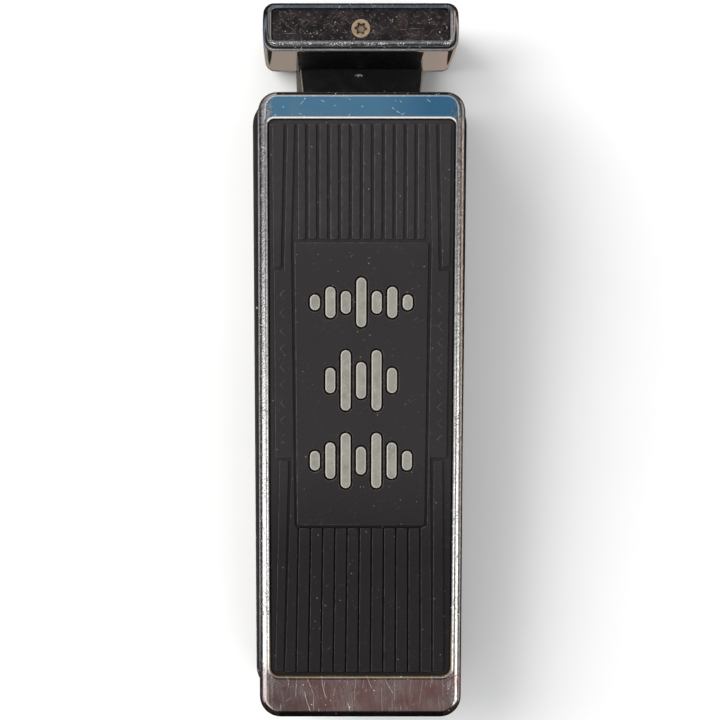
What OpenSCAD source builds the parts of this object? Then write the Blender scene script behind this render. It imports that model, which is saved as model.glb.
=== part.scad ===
// Foot pedal that sweeps a tone: a rocking treadle on a die-cast base drives a
// rack, a pinion and a control inside, and a footswitch under the toe end.
// Origin: centre of the footprint on the floor, +Y toward the toe end, +Z up.

/* [Base] */
// Whole length, from the heel edge of the treadle to the toe face of the head
overall_len = 254; // [252:0.5:256]
// Width of the base at its toe end
base_w_toe = 77.6; // [77:0.1:79]
// Width of the base at its heel end
base_w_heel = 76.4; // [75.5:0.1:77]
// Toe end of the wide part of the base, along Y
base_toe_y = 96; // [95:0.5:97]
// Heel end of the base, along Y
base_heel_y = -124; // [-124.5:0.5:-123]
// Radius of the base's upright corners
base_corner_r = 10; // [7:0.5:12]
// Height of the side ledge at the toe end
ledge_toe_z = 36; // [34:0.5:36]
// Height of the side ledge at the heel end
ledge_heel_z = 12; // [11:0.5:12.5]
// Wall thickness of the casting
wall = 3; // [2.5:0.1:3]
// Height of the rubber feet
foot_h = 3.5; // [3.5:0.1:4]
// Thickness of the bottom plate
plate_t = 1.5; // [1:0.1:1.5]

/* [Hump] */
// Width of the raised middle of the base
hump_w = 61; // [60:0.5:61]
// Height of the hump under the pivot
hump_top_z = 44; // [43.5:0.5:44]
// Height of the hump at its toe end
hump_toe_z = 36.4; // [36:0.2:36.4]
// Height of the hump at its heel end
hump_heel_z = 15; // [14:0.5:15]

/* [Head and neck] */
// Height of the head
head_h = 50; // [48:0.5:52]
// Width of the head
head_w = 69.6; // [68:0.1:72]
// Depth of the head along Y
head_d = 17; // [16.5:0.1:17.5]
// Width of the neck where it meets the head
neck_w_head = 45.4; // [44:0.1:47]
// Width of the neck where it meets the base
neck_w_base = 43.6; // [42:0.1:45]
// Height of the neck's top face
neck_top_z = 9; // [8:0.5:12]

/* [Treadle] */
// Width of the treadle
treadle_w = 71.9; // [71:0.1:72]
// Toe edge of the treadle along Y, at rest
treadle_toe_y = 93.5; // [92:0.5:94]
// Height of the treadle's top face above the pivot line, at rest
treadle_mid_z = 53.1; // [53:0.1:54]
// Slope of the treadle at rest, toe up, in degrees
treadle_slope = 5.455; // [5:0.005:6]
// Thickness of the treadle's plate
treadle_t = 4.6; // [4.2:0.1:4.6]
// Depth of the treadle's skirt below its top face
skirt_h = 8; // [7:0.1:8]
// Thickness of the treadle's skirt
skirt_t = 2.4; // [2:0.1:2.5]

/* [Tread pad] */
// Width of the pad at the toe
pad_w_toe = 64.4; // [63:0.1:65]
// Width of the pad at the heel
pad_w_heel = 63.6; // [62:0.1:64]
// Toe edge of the pad, along the treadle
pad_toe = 84.3; // [84:0.1:85]
// Heel edge of the pad, along the treadle
pad_heel = -112.2; // [-113:0.1:-112]
// Thickness of the pad
pad_t = 2.4; // [2.2:0.1:2.6]
// Depth of the pad's grooves
groove_d = 0.9; // [0.5:0.1:1]
// Width of the pad's grooves
groove_w = 1.1; // [0.8:0.1:1.4]

/* [Pivot] */
// Height of the pivot line
pivot_z = 36; // [35.5:0.1:36]
// Diameter of the pivot shaft
pivot_d = 6; // [5:0.1:6]

/* [Rack and pinion] */
// Teeth on the pinion
pinion_teeth = 12; // [12:1:12]
// Tooth size: pitch diameter over the number of teeth
tooth_module = 0.8; // [0.8:0.1:0.8]
// Distance of the rack's pin ahead of the pivot line
rack_y = 42; // [42:0.5:42]
// Height of the rack's pin at rest
rack_pin_z = 47.5; // [47:0.5:47.5]
// Height of the pinion's axis
pinion_z = 22; // [21.5:0.5:22]
// Diameter of the control's body
pot_d = 24; // [20:1:24]

/* [Footswitch] */
// Place of the footswitch along Y
switch_y = 74; // [73.5:0.5:74.5]
// Height of the plunger's top when it is not pressed
plunger_top_z = 39.7; // [39:0.1:39.7]
// Height of the floor of the well that the switch stands in
well_floor_z = 27; // [26.5:0.5:27]

/* [Jacks] */
// Place of the two jacks along Y
jack_y = 56; // [55.5:0.5:56]
// Height of the jacks' axes
jack_z = 19; // [18:0.5:19]
// Radius of the jacks' bore, for a 6.35 mm plug
jack_bore_r = 3.23; // [3.2:0.01:3.3]

/* [Hidden] */
$fn = 48;

// A cut reaches this far past the face that it opens
cut = 1;
// Joined shapes reach this far into each other
weld = 1;
// Segments along a rounded corner of an outline
arc_steps = 8;
// Radial room round a part that is fixed in its hole
snug = 0.02;
// Radial room round a part that turns or slides in its hole
running = 0.05;

base_z = foot_h + plate_t;
half_len = overall_len / 2;
head_heel_y = half_len - head_d;
// The hump's top is flat this far either side of the pivot line
ridge_flat = 12;
hump_toe_y = base_toe_y - wall - 1;
hump_heel_y = base_heel_y + 4;
screw_r = 1.5;
// Radius of the hole that a small screw cuts its thread in
pilot_r = 1.25;
// Radial room round a small screw where it passes through a part
screw_room = 0.2;

// ---- shared shapes ----

function unit(v) = v / norm(v);
// Points of an outline whose corner i is an arc of radius r[i]
function rounded(pts, r) = [
    for (i = [0:len(pts) - 1])
        let (
            n = len(pts),
            back = unit(pts[(i + n - 1) % n] - pts[i]),
            ahead = unit(pts[(i + 1) % n] - pts[i]),
            half = acos(back * ahead) / 2,
            centre = pts[i] + unit(back + ahead) * r[i] / sin(half),
            first = pts[i] + back * r[i] / tan(half) - centre,
            last = pts[i] + ahead * r[i] / tan(half) - centre,
            from = atan2(first[1], first[0]),
            turn = (atan2(last[1], last[0]) - from + 540) % 360 - 180
        )
        for (k = [0:arc_steps])
            let (a = from + turn * k / arc_steps)
            centre + r[i] * [cos(a), sin(a)]
];

// Corners of a shape that is symmetric about X = 0 and straight from heel to toe
function tapered(w_heel, w_toe, heel, toe) = [
    [-w_heel / 2, heel], [w_heel / 2, heel], [w_toe / 2, toe], [-w_toe / 2, toe]
];

module slab(pts, z0, z1) {
    translate([0, 0, z0]) linear_extrude(z1 - z0) polygon(pts);
}

// A prism whose section is drawn in Y and Z and that runs from x0 to x1
module side_prism(pts, x0, x1) {
    translate([x0, 0, 0]) rotate([90, 0, 90]) linear_extrude(x1 - x0) polygon(pts);
}

module box(low, high) {
    translate(low) cube(high - low);
}

// A cylinder along +X
module rod_x(r, x0, x1) {
    translate([x0, 0, 0]) rotate([0, 90, 0]) cylinder(r = r, h = x1 - x0);
}

// A hexagonal nut blank along +Z with its bore
module hex_nut(across_flats, bore_r, h) {
    difference() {
        cylinder(r = across_flats / 2 / cos(30), h = h, $fn = 6);
        translate([0, 0, -cut]) cylinder(r = bore_r, h = h + 2 * cut);
    }
}

// The children, and their mirror image on the other side of X = 0
module both_sides() {
    children();
    mirror([1, 0, 0]) children();
}

pan_head_h = 1.8;

// A pan-head screw that points up, with its head's underside at z = 0
module pan_screw(r, shank, head_r, head_h) {
    slot = [head_r * 0.6, 0.5, head_h * 0.4];
    difference() {
        union() {
            cylinder(r = r, h = shank);
            translate([0, 0, -head_h]) cylinder(r = head_r, h = head_h);
        }
        for (turn = [0, 90])
            rotate(turn) box([-slot[0], -slot[1], -head_h - cut], [slot[0], slot[1], -slot[2]]);
    }
}

// Places its children in the treadle's own frame: X across, Y along it, Z up from its top
module on_treadle() {
    translate([0, 0, treadle_mid_z]) rotate([treadle_slope, 0, 0]) children();
}

// ---- base ----

// Height of the side ledge at a place along Y
function ledge_z(y) =
    ledge_heel_z + (ledge_toe_z - ledge_heel_z) * (y - base_heel_y) / (base_toe_y - base_heel_y);

// Height of the hump's top face at a place along Y
function roof_z(y) =
    let (
        past = max(abs(y) - ridge_flat, 0),
        end_z = y > 0 ? hump_toe_z : hump_heel_z,
        run = (y > 0 ? hump_toe_y : -hump_heel_y) - ridge_flat
    )
    hump_top_z - (hump_top_z - end_z) * past / run;

// A post that reaches up to the hump's roof ends this far inside the casting
function ceiling_z(y) = roof_z(y) - wall + weld;

function base_w(y) =
    base_w_heel + (base_w_toe - base_w_heel) * (y - base_heel_y) / (base_toe_y - base_heel_y);

function base_outline(inset) = rounded(
    tapered(base_w_heel - 2 * inset, base_w_toe - 2 * inset, base_heel_y + inset, base_toe_y - inset),
    [for (i = [0:3]) base_corner_r - inset]
);

function ledge_section(drop) = [
    [base_heel_y - cut, base_z - cut],
    [base_toe_y + cut, base_z - cut],
    [base_toe_y + cut, ledge_z(base_toe_y + cut) - drop],
    [base_heel_y - cut, ledge_z(base_heel_y - cut) - drop]
];

function hump_section(inset) = [
    [hump_heel_y + inset, base_z],
    [hump_toe_y - inset, base_z],
    [hump_toe_y - inset, hump_toe_z - inset],
    [ridge_flat, hump_top_z - inset],
    [-ridge_flat, hump_top_z - inset],
    [hump_heel_y + inset, hump_heel_z - inset]
];

function neck_outline(side) = [
    [-neck_w_base / 2 - side, base_toe_y - wall],
    [neck_w_base / 2 + side, base_toe_y - wall],
    [neck_w_head / 2 + side, head_heel_y + 2],
    [-neck_w_head / 2 - side, head_heel_y + 2]
];

// The head's outline: its short sides bulge a little
head_bulge = 0.7;
function head_outline(inset) =
    let (x = head_w / 2 - inset, y0 = head_heel_y + inset, y1 = half_len - inset, ym = (y0 + y1) / 2)
    rounded(
        [[-x + head_bulge, y0], [x - head_bulge, y0], [x, ym], [x - head_bulge, y1],
         [-x + head_bulge, y1], [-x, ym]],
        [3.5, 3.5, 40, 3.5, 3.5, 40]
    );

// Radii of the posts inside the casting, and the depth of the feet's screw holes
post_r = 4;
foot_post_r = 4.5;
board_post_r = 3.5;
foot_pilot = 5.5;

// Places of the screws and feet
foot_at = [[28, -108], [25, head_heel_y + head_d / 2]];
plate_screw_at = [[30, 84], [31, -20]];
board_hole_at = [[20, -36], [20, 8.5]];
bracket_screw_at = [[15, 18.5], [15, 50.5]];
toe_bumper_at = [20, 88];
heel_bumper_at = [18, -108];

// The head's core sits inside the chrome cap with a little room
cap_wall = 2;
cap_room = 0.2;
core_top_z = head_h - 6;
// Thickness and width of the lip that carries the plate in the head
lip = 2;
nose_screw_y = 117.9;
nose_shank_r = 1.53;
nose_hole = 12;

module screw_post(place, r, z0, z1) {
    both_sides() translate([place[0], place[1], z0]) cylinder(r = r, h = z1 - z0);
}

module head_core() {
    side = head_w / 2 - head_bulge - cap_wall - cap_room;
    pocket_x = [6, 19.5];
    pocket_edge = 4.5;
    difference() {
        union() {
            box([-side, head_heel_y + cap_wall + cap_room, base_z],
                [side, half_len - cap_wall - cap_room, core_top_z]);
            // The middle of the heel-facing wall shows between the cap's wings
            box([-neck_w_head / 2 + 0.4, head_heel_y + 0.15, base_z],
                [neck_w_head / 2 - 0.4, head_heel_y + cap_wall + cap_room, head_h - 2.8]);
        }
        both_sides()
            box([pocket_x[0], head_heel_y + pocket_edge, base_z - cut],
                [pocket_x[1], half_len - pocket_edge, core_top_z - wall]);
        screw_post(foot_at[1], pilot_r, base_z - cut, base_z + foot_pilot);
        translate([0, nose_screw_y, core_top_z - nose_hole])
            cylinder(r = nose_shank_r + snug, h = nose_hole + cut);
    }
}

module housing_shell() {
    difference() {
        union() {
            intersection() {
                slab(base_outline(0), base_z, hump_top_z);
                side_prism(ledge_section(0), -base_w_toe, base_w_toe);
            }
            side_prism(hump_section(0), -hump_w / 2, hump_w / 2);
        }
        intersection() {
            slab(base_outline(wall), base_z - cut, hump_top_z);
            side_prism(ledge_section(wall), -base_w_toe, base_w_toe);
        }
        side_prism(hump_section(wall), -hump_w / 2 + wall, hump_w / 2 - wall);
        // Opens the hump's inside through the face that the bottom plate covers
        box([-hump_w / 2 + wall, hump_heel_y + wall, base_z - cut],
            [hump_w / 2 - wall, hump_toe_y - wall, base_z + cut]);
    }
}

// The footswitch stands in a well that is open at the top
well_x = 13;
well_y = [62, 86];
// The rack and its clevis pass through a slot in the hump's top
slot_x = 8;
slot_y = [34, 50.5];
jack_pocket_r = 9;
jack_pocket_floor = 35.3;

module housing_additions() {
    pocket_wall = 2;
    box([-well_x - wall, well_y[0] - wall, well_floor_z - wall],
        [well_x + wall, well_y[1] + wall, hump_toe_z]);
    screw_post(foot_at[0], foot_post_r, base_z, base_z + foot_pilot + pocket_wall);
    for (place = plate_screw_at) screw_post(place, post_r, base_z, ledge_z(place[1]) - weld);
    for (place = board_hole_at) screw_post(place, board_post_r, board_z1, ceiling_z(place[1]));
    for (place = bracket_screw_at)
        translate([place[0], place[1], bracket_top_z])
            cylinder(r = post_r, h = ceiling_z(place[1]) - bracket_top_z);
    both_sides()
        translate([0, jack_y, jack_z])
            rod_x(jack_pocket_r + pocket_wall, jack_pocket_floor - wall, base_w(jack_y) / 2 - weld);
    slab(neck_outline(0), base_z, neck_top_z);
    head_core();
}

module housing_cuts() {
    plate_pilot = 8;
    bracket_pilot = 4;
    box([-well_x, well_y[0], well_floor_z], [well_x, well_y[1], hump_top_z]);
    translate([0, switch_y, well_floor_z - wall - cut])
        cylinder(r = switch_bush_r + snug, h = wall + 2 * cut);
    box([-slot_x, slot_y[0], hump_toe_z - wall - cut], [slot_x, slot_y[1], hump_top_z + cut]);
    translate([0, 0, pivot_z]) rod_x(bush_r + snug, -hump_w / 2 - cut, hump_w / 2 + cut);
    screw_post(foot_at[0], pilot_r, base_z - cut, base_z + foot_pilot);
    for (place = plate_screw_at) screw_post(place, pilot_r, base_z - cut, base_z + plate_pilot);
    for (place = board_hole_at) screw_post(place, pilot_r, board_z1 - cut, board_z1 + plate_pilot);
    for (place = bracket_screw_at)
        translate([place[0], place[1], bracket_top_z - cut]) cylinder(r = pilot_r, h = bracket_pilot + cut);
    both_sides()
        translate([0, jack_y, jack_z]) {
            rod_x(jack_bush_r + snug, jack_pocket_floor - wall - cut, jack_pocket_floor + cut);
            rod_x(jack_pocket_r, jack_pocket_floor, base_w_toe);
        }
}

module base_housing() {
    color([0.11, 0.11, 0.12]) difference() {
        union() {
            housing_shell();
            housing_additions();
        }
        housing_cuts();
    }
}

// The plate stands a little proud of the neck and follows the base and the head
plate_edge = 0.9;

module bottom_plate() {
    color([0.62, 0.6, 0.55]) difference() {
        union() {
            slab(base_outline(0.2), foot_h, base_z);
            slab(neck_outline(plate_edge), foot_h, base_z);
            slab(head_outline(0.3), foot_h, base_z);
        }
        for (place = concat(foot_at, plate_screw_at))
            screw_post(place, screw_r + screw_room, foot_h - cut, base_z + cut);
    }
}

foot_r = 7.5;
foot_head_r = 3.6;
foot_recess = 2.2;

module rubber_feet() {
    color([0.08, 0.08, 0.08])
        for (place = foot_at)
            both_sides() translate([place[0], place[1], 0]) difference() {
                cylinder(r1 = foot_r - 0.8, r2 = foot_r, h = foot_h);
                translate([0, 0, -cut]) cylinder(r = foot_head_r, h = foot_recess + cut);
                cylinder(r = screw_r + 0.15, h = foot_h + cut);
            }
}

module foot_screws() {
    color([0.6, 0.6, 0.6])
        for (place = foot_at)
            both_sides()
                translate([place[0], place[1], foot_recess])
                    pan_screw(pilot_r - snug, base_z - foot_recess + 4.7, 3.1, pan_head_h);
}

module plate_screws() {
    color([0.6, 0.6, 0.6])
        for (place = plate_screw_at)
            both_sides()
                translate([place[0], place[1], foot_h])
                    pan_screw(pilot_r - snug, plate_t + 6.5, 3, pan_head_h);
}

// ---- head ----

nose_opening = [31.6, 113.4, 125.1];
plate_top_z = head_h - 1.4;

module nose_cap() {
    side = head_w / 2 - head_bulge - cap_wall;
    strip = 2.6;
    color([0.75, 0.77, 0.8]) difference() {
        slab(head_outline(0), base_z, head_h);
        box([-side, head_heel_y + cap_wall, base_z - cut], [side, half_len - cap_wall, core_top_z]);
        // The wings stop at the neck's width and leave a chrome strip on top
        box([-neck_w_head / 2, head_heel_y - cut, base_z - cut],
            [neck_w_head / 2, head_heel_y + cap_wall + cut, head_h - strip]);
        box([-nose_opening[0], nose_opening[1], core_top_z + lip],
            [nose_opening[0], nose_opening[2], head_h + cut]);
        box([-nose_opening[0] + lip, nose_opening[1] + lip, core_top_z - cut],
            [nose_opening[0] - lip, nose_opening[2] - lip, head_h]);
    }
}

nose_head_r = 3.4;
nose_head_h = 1.9;
nose_hole_r = 1.9;

module nose_plate() {
    room = 0.15;
    color([0.07, 0.07, 0.07]) difference() {
        box([-nose_opening[0] + room, nose_opening[1] + room, core_top_z + lip],
            [nose_opening[0] - room, nose_opening[2] - room, plate_top_z]);
        translate([0, nose_screw_y, core_top_z]) cylinder(r = nose_hole_r, h = head_h);
        translate([0, nose_screw_y, plate_top_z - nose_head_h])
            cylinder(r1 = nose_hole_r, r2 = nose_head_r + snug, h = nose_head_h);
    }
}

// A six-lobed recess of outer radius r
module star_recess(r, depth) {
    linear_extrude(depth) {
        circle(r = r * 0.78);
        for (turn = [0:60:300]) rotate(turn) translate([r * 0.78, 0]) circle(r = r * 0.22);
    }
}

module nose_screw() {
    reach = 9;
    recess = 1.4;
    color([0.72, 0.62, 0.44]) translate([0, nose_screw_y, 0]) difference() {
        union() {
            translate([0, 0, plate_top_z - nose_head_h])
                cylinder(r1 = nose_shank_r + 0.05, r2 = nose_head_r - snug, h = nose_head_h);
            translate([0, 0, core_top_z - reach])
                cylinder(r = nose_shank_r, h = plate_top_z - weld - core_top_z + reach);
        }
        translate([0, 0, plate_top_z - recess]) star_recess(1.75, recess + cut);
    }
}

// ---- treadle ----

treadle_toe = treadle_toe_y / cos(treadle_slope);
treadle_heel = -half_len / cos(treadle_slope);
recess_d = 2.2;
recess_room = 0.25;
lug_x0 = hump_w / 2 + 1.1;
lug_r = 6.5;
clevis_x0 = 3.2;
clevis_t = 2;
// The clevis ears reach below the treadle's plate and hold the rack's pin
clevis_half_y = 3.4;

function treadle_outline(inset) = rounded(
    tapered(treadle_w - 2 * inset, treadle_w - 2 * inset, treadle_heel + inset, treadle_toe - inset),
    [7.5 - inset, 7.5 - inset, 6.7 - inset, 6.7 - inset]
);

function pad_outline(room) = rounded(
    tapered(pad_w_heel + 2 * room, pad_w_toe + 2 * room, pad_heel - room, pad_toe + room),
    [3.2, 3.2, 1.8, 1.8]
);

module treadle_tray() {
    rib_w = 1.6;
    rib_d = 1.4;
    rib_reach = treadle_w / 2 - skirt_t + 0.2;
    long_rib_x = 22;
    cross_ribs = [-92, -60, -28, 58];
    on_treadle() {
        difference() {
            slab(treadle_outline(0), -skirt_h, 0);
            slab(treadle_outline(skirt_t), -skirt_h - cut, -treadle_t);
            slab(pad_outline(recess_room), -recess_d, cut);
        }
        for (y = cross_ribs) box([-rib_reach, y, -treadle_t - rib_d], [rib_reach, y + rib_w, -treadle_t]);
        both_sides()
            box([long_rib_x, cross_ribs[0], -treadle_t - rib_d],
                [long_rib_x + rib_w, cross_ribs[3] + rib_w, -treadle_t]);
    }
}

module treadle_lug() {
    side_prism([[-lug_r, pivot_z], [lug_r, pivot_z], [15, 48], [-15, 46]], lug_x0, treadle_w / 2);
    translate([0, 0, pivot_z]) rod_x(lug_r, lug_x0, treadle_w / 2);
}

module clevis_ear() {
    side_prism(
        [[rack_y - clevis_half_y, rack_pin_z], [rack_y + clevis_half_y, rack_pin_z],
         [rack_y + clevis_half_y, rack_pin_z + 5.6], [rack_y - clevis_half_y, rack_pin_z + 5.2]],
        clevis_x0, clevis_x0 + clevis_t
    );
    translate([0, rack_y, rack_pin_z]) rod_x(clevis_half_y, clevis_x0, clevis_x0 + clevis_t);
}

module treadle_casting() {
    color([0.72, 0.74, 0.77]) difference() {
        union() {
            treadle_tray();
            both_sides() {
                treadle_lug();
                clevis_ear();
            }
        }
        translate([0, 0, pivot_z]) rod_x(pivot_d / 2 + snug, -treadle_w, treadle_w);
        translate([0, rack_y, rack_pin_z]) rod_x(rack_pin_r + snug, -10, 10);
        both_sides()
            translate([set_screw_x, 0, pivot_z - lug_r - cut])
                cylinder(r = set_screw_r + snug, h = lug_r + cut);
    }
}

// The pad's panel and the groove round it
panel = [[-22.45, -57.6], [22.45, -57.6], [23.3, 41.9], [-23.3, 41.9]];
panel_groove = 0.7;
// The toe grooves are parallel, except for two on each side that lean outward down to the panel
toe_pitch = 3.79;
toe_groove_y = [42.9, 83];
leaning_grooves = [
    [[23.3, 41], [24.5, 41], [23.3, 83], [22.2, 83]],
    [[27, 33.5], [28.1, 33.5], [26.9, 83], [25.8, 83]]
];
// The heel grooves are narrow and fan out a little toward the heel
heel_groove_w = 0.6;
heel_groove_y = [-110.6, -58.9];
// One ridge on each side of the heel grooves, drawn as a loop of groove and the ridge left inside it
ridge_loops = [
    [[-30.1, -33.5], [-24.4, -33.5], [-26.9, -110.6], [-30.8, -110.6]],
    [[24.3, -33.5], [29.6, -33.5], [30.2, -110.6], [25.2, -110.6]]
];
ridges = [
    [[-28.9, -34.7], [-25.8, -34.7], [-27.5, -110], [-30.3, -110]],
    [[25.4, -34.7], [28.5, -34.7], [29.5, -110], [25.8, -110]]
];

// Place across the pad of heel groove k, at a place along it
function heel_groove_x(k, y) =
    let (share = (heel_groove_y[1] - y) / (heel_groove_y[1] - heel_groove_y[0]))
    k * (4.3 + 0.12 * share) - 0.55 - 0.33 * share;

module groove(shape) {
    slab(shape, pad_t - recess_d - groove_d, pad_t);
}

// A groove all round the inner shape, out to the outer one
module groove_loop(outer, inner) {
    difference() {
        groove(outer);
        slab(inner, -recess_d, pad_t + cut);
    }
}

module pad_grooves() {
    half = groove_w / 2;
    for (k = [-5:5])
        let (x = k * toe_pitch)
            groove([
                [x - half, toe_groove_y[0]], [x + half, toe_groove_y[0]],
                [x + half, toe_groove_y[1]], [x - half, toe_groove_y[1]]
            ]);
    both_sides() for (shape = leaning_grooves) groove(shape);
    for (k = [-5:5])
        let (
            far = heel_groove_x(k, heel_groove_y[0]),
            near = heel_groove_x(k, heel_groove_y[1]),
            side = heel_groove_w / 2
        )
            groove([
                [far - side, heel_groove_y[0]], [far + side, heel_groove_y[0]],
                [near + side, heel_groove_y[1]], [near - side, heel_groove_y[1]]
            ]);
    for (i = [0, 1]) groove_loop(ridge_loops[i], ridges[i]);
    groove_loop(panel, [for (p = panel) p - [sign(p[0]), sign(p[1])] * panel_groove]);
}

// Three rows of rounded bars, like a level meter, show through the pad
bar_rows = [
    [21.1, [5.5, 11, 8, 17.4, 8, 11, 5.5]],
    [-6.3, [9, 21.4, 13, 21.4, 9]],
    [-34.7, [7, 13, 19.7, 10, 19.7, 13, 7]]
];
bar_pitch = 5.4;
bar_w = 3.55;
bar_gap = 0.6;

// One round-ended bar, grown by room on all sides
module bar(len, room) {
    square([bar_w + 2 * room, len - bar_w], center = true);
    for (end = [-1, 1]) translate([0, end * (len - bar_w) / 2]) circle(r = bar_w / 2 + room);
}

module bars(room, z0, z1) {
    for (row = bar_rows)
        for (i = [0:len(row[1]) - 1])
            translate([(i - (len(row[1]) - 1) / 2) * bar_pitch, row[0], z0])
                linear_extrude(z1 - z0) bar(row[1][i], room);
}

module tread_pad() {
    color([0.2, 0.19, 0.2]) on_treadle() difference() {
        slab(pad_outline(0), -recess_d, pad_t - recess_d);
        pad_grooves();
        bars(bar_gap, -recess_d - cut, pad_t);
    }
}

module emblem_inlays() {
    color([0.73, 0.73, 0.73]) on_treadle() bars(0, -recess_d, pad_t - recess_d - 0.15);
}

// Rubber disc under the treadle, over the footswitch
switch_pad_y = 71.6;
switch_pad_t = 1.5;

module switch_pad() {
    color([0.1, 0.1, 0.1]) on_treadle()
        translate([0, switch_pad_y, -treadle_t - switch_pad_t]) cylinder(r = 7, h = switch_pad_t);
}

// ---- pivot ----

bush_r = 4.5;
set_screw_x = 33.6;
set_screw_r = 1.2;
// Depth and half length of the shaft's flats
flat_depth = 0.4;
flat_half = 1.6;

module pivot_shaft() {
    color([0.66, 0.67, 0.69]) difference() {
        translate([0, 0, pivot_z]) rod_x(pivot_d / 2, -treadle_w / 2 + 0.5, treadle_w / 2 - 0.5);
        // A flat for each set screw
        both_sides()
            box([set_screw_x - flat_half, -pivot_d, pivot_z - pivot_d],
                [set_screw_x + flat_half, pivot_d, pivot_z - pivot_d / 2 + flat_depth]);
    }
}

module pivot_bushes() {
    color([0.9, 0.89, 0.84]) translate([0, 0, pivot_z]) both_sides() difference() {
        union() {
            rod_x(bush_r, hump_w / 2 - wall - 2, hump_w / 2);
            rod_x(bush_r + 1.4, hump_w / 2, hump_w / 2 + 1);
        }
        rod_x(pivot_d / 2 + running, 0, hump_w);
    }
}

module pivot_set_screws() {
    sunk = 0.6;
    socket = 1.2;
    color([0.35, 0.35, 0.36])
        both_sides() translate([set_screw_x, 0, pivot_z - lug_r + sunk]) difference() {
            cylinder(r = set_screw_r, h = lug_r - pivot_d / 2 + flat_depth - sunk);
            translate([0, 0, -cut]) cylinder(r = 0.75, h = socket + cut, $fn = 6);
        }
}

// ---- bumpers ----

// A rubber stop that stands on the hump's sloping top
module bumper(place, r, top_z) {
    low_z = roof_z(place[1]) - r;
    both_sides() difference() {
        translate([place[0], place[1], low_z]) cylinder(r = r, h = top_z - low_z);
        side_prism(hump_section(0), 0, hump_w / 2 + cut);
    }
}

module toe_bumpers() {
    color([0.12, 0.12, 0.12]) bumper(toe_bumper_at, 3.5, 39.6);
}

module heel_bumpers() {
    color([0.12, 0.12, 0.12]) bumper(heel_bumper_at, 4.5, 20.3);
}

// ---- rack and pinion ----

pitch_r = pinion_teeth * tooth_module / 2;
tooth_pitch = PI * tooth_module;
rack_tip = 0.5;
rack_root = 0.95;
backlash = 0.22;
pressure_angle = 20;
rack_pin_r = 1.5;
rack_half_x = 3;
rack_pitch_y = 39;
rack_back_y = 44.5;
rack_low_z = 13.3;
eye_y = 41.6;
eye_r = 3.2;
pinion_y = rack_pitch_y - pitch_r;
slot_room = 0.3;
eye_half_slot = 2.1;

// One rack tooth, centred at z = 0, that points to -Y from the pitch line
function rack_tooth(z) =
    let (
        half = tooth_pitch / 4 - backlash / 2,
        lean = tan(pressure_angle)
    )
    [
        [rack_pitch_y + rack_root, z - half - rack_root * lean],
        [rack_pitch_y - rack_tip, z - half + rack_tip * lean],
        [rack_pitch_y - rack_tip, z + half - rack_tip * lean],
        [rack_pitch_y + rack_root, z + half + rack_root * lean]
    ];

// A round-ended bar across the rack, at the height of the pin
module eye(r, half_x) {
    translate([0, eye_y, rack_pin_z]) {
        box([-half_x, -eye_half_slot, -r], [half_x, eye_half_slot, r]);
        for (end = [-1, 1]) translate([0, end * eye_half_slot, 0]) rod_x(r, -half_x, half_x);
    }
}

module rack() {
    color([0.93, 0.92, 0.88]) difference() {
        union() {
            box([-rack_half_x, rack_pitch_y + rack_root, rack_low_z], [rack_half_x, rack_back_y, rack_pin_z]);
            for (k = [-3:5])
                side_prism(rack_tooth(pinion_z + (k + 0.5) * tooth_pitch), -rack_half_x, rack_half_x);
            eye(eye_r, rack_half_x);
        }
        // The eye is a slot, so the pin's arc does not push the rack sideways
        eye(rack_pin_r + slot_room, rack_half_x + cut);
    }
}

module rack_pin() {
    clip_x = clevis_x0 + clevis_t + 0.2;
    color([0.68, 0.68, 0.7]) translate([0, rack_y, rack_pin_z]) difference() {
        union() {
            rod_x(rack_pin_r, -clevis_x0 - clevis_t, clip_x + 1.3);
            rod_x(2.4, -clevis_x0 - clevis_t - 1, -clevis_x0 - clevis_t);
        }
        // Groove for the clip
        difference() {
            rod_x(rack_pin_r + cut, clip_x, clip_x + 0.6);
            rod_x(rack_pin_r - 0.4, clip_x - cut, clip_x + 1.6);
        }
    }
}

module rack_pin_clip() {
    clip_x = clevis_x0 + clevis_t + 0.25;
    color([0.5, 0.5, 0.52]) translate([0, rack_y, rack_pin_z]) difference() {
        rod_x(2.7, clip_x, clip_x + 0.5);
        rod_x(rack_pin_r - 0.4 + snug, clip_x - cut, clip_x + 2);
        box([clip_x - cut, -0.9, 0], [clip_x + 2, 0.9, 4]);
    }
}

function involute(base, a) = base * [cos(a) + a * PI / 180 * sin(a), sin(a) - a * PI / 180 * cos(a)];
function turned(p, a) = [p[0] * cos(a) - p[1] * sin(a), p[0] * sin(a) + p[1] * cos(a)];

// Outline of one pinion tooth that points along +X
function pinion_tooth() =
    let (
        base = pitch_r * cos(pressure_angle),
        tip = pitch_r + tooth_module * 0.9,
        root = pitch_r - rack_tip - 0.2,
        inv = tan(pressure_angle) * 180 / PI - pressure_angle,
        half = 90 / pinion_teeth + inv - backlash / 2 / pitch_r * 180 / PI,
        top = acos(base / tip),
        steps = 6,
        flank = [for (k = [0:steps]) turned(involute(base, tan(top) * 180 / PI * k / steps), -half)]
    )
    concat(
        [[root * 0.9 * cos(half), -root * 0.9 * sin(half)]],
        flank,
        [for (k = [steps:-1:0]) [flank[k][0], -flank[k][1]]],
        [[root * 0.9 * cos(half), root * 0.9 * sin(half)]]
    );

module pinion() {
    root = pitch_r - rack_tip - 0.2;
    color([0.9, 0.87, 0.78]) translate([0, pinion_y, pinion_z]) difference() {
        union() {
            rod_x(root, -4.5, 3.4);
            translate([-rack_half_x - 0.3, 0, 0]) rotate([90, 0, 90]) linear_extrude(2 * rack_half_x + 0.6)
                for (k = [0:pinion_teeth - 1]) rotate(k * 360 / pinion_teeth) polygon(pinion_tooth());
        }
        rod_x(pot_shaft_r + snug, -6, 6);
    }
}

pot_shaft_r = 3;
pot_face_x = 9.5;
pot_bush_r = 4.2;
nut_t = 2.4;

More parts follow.
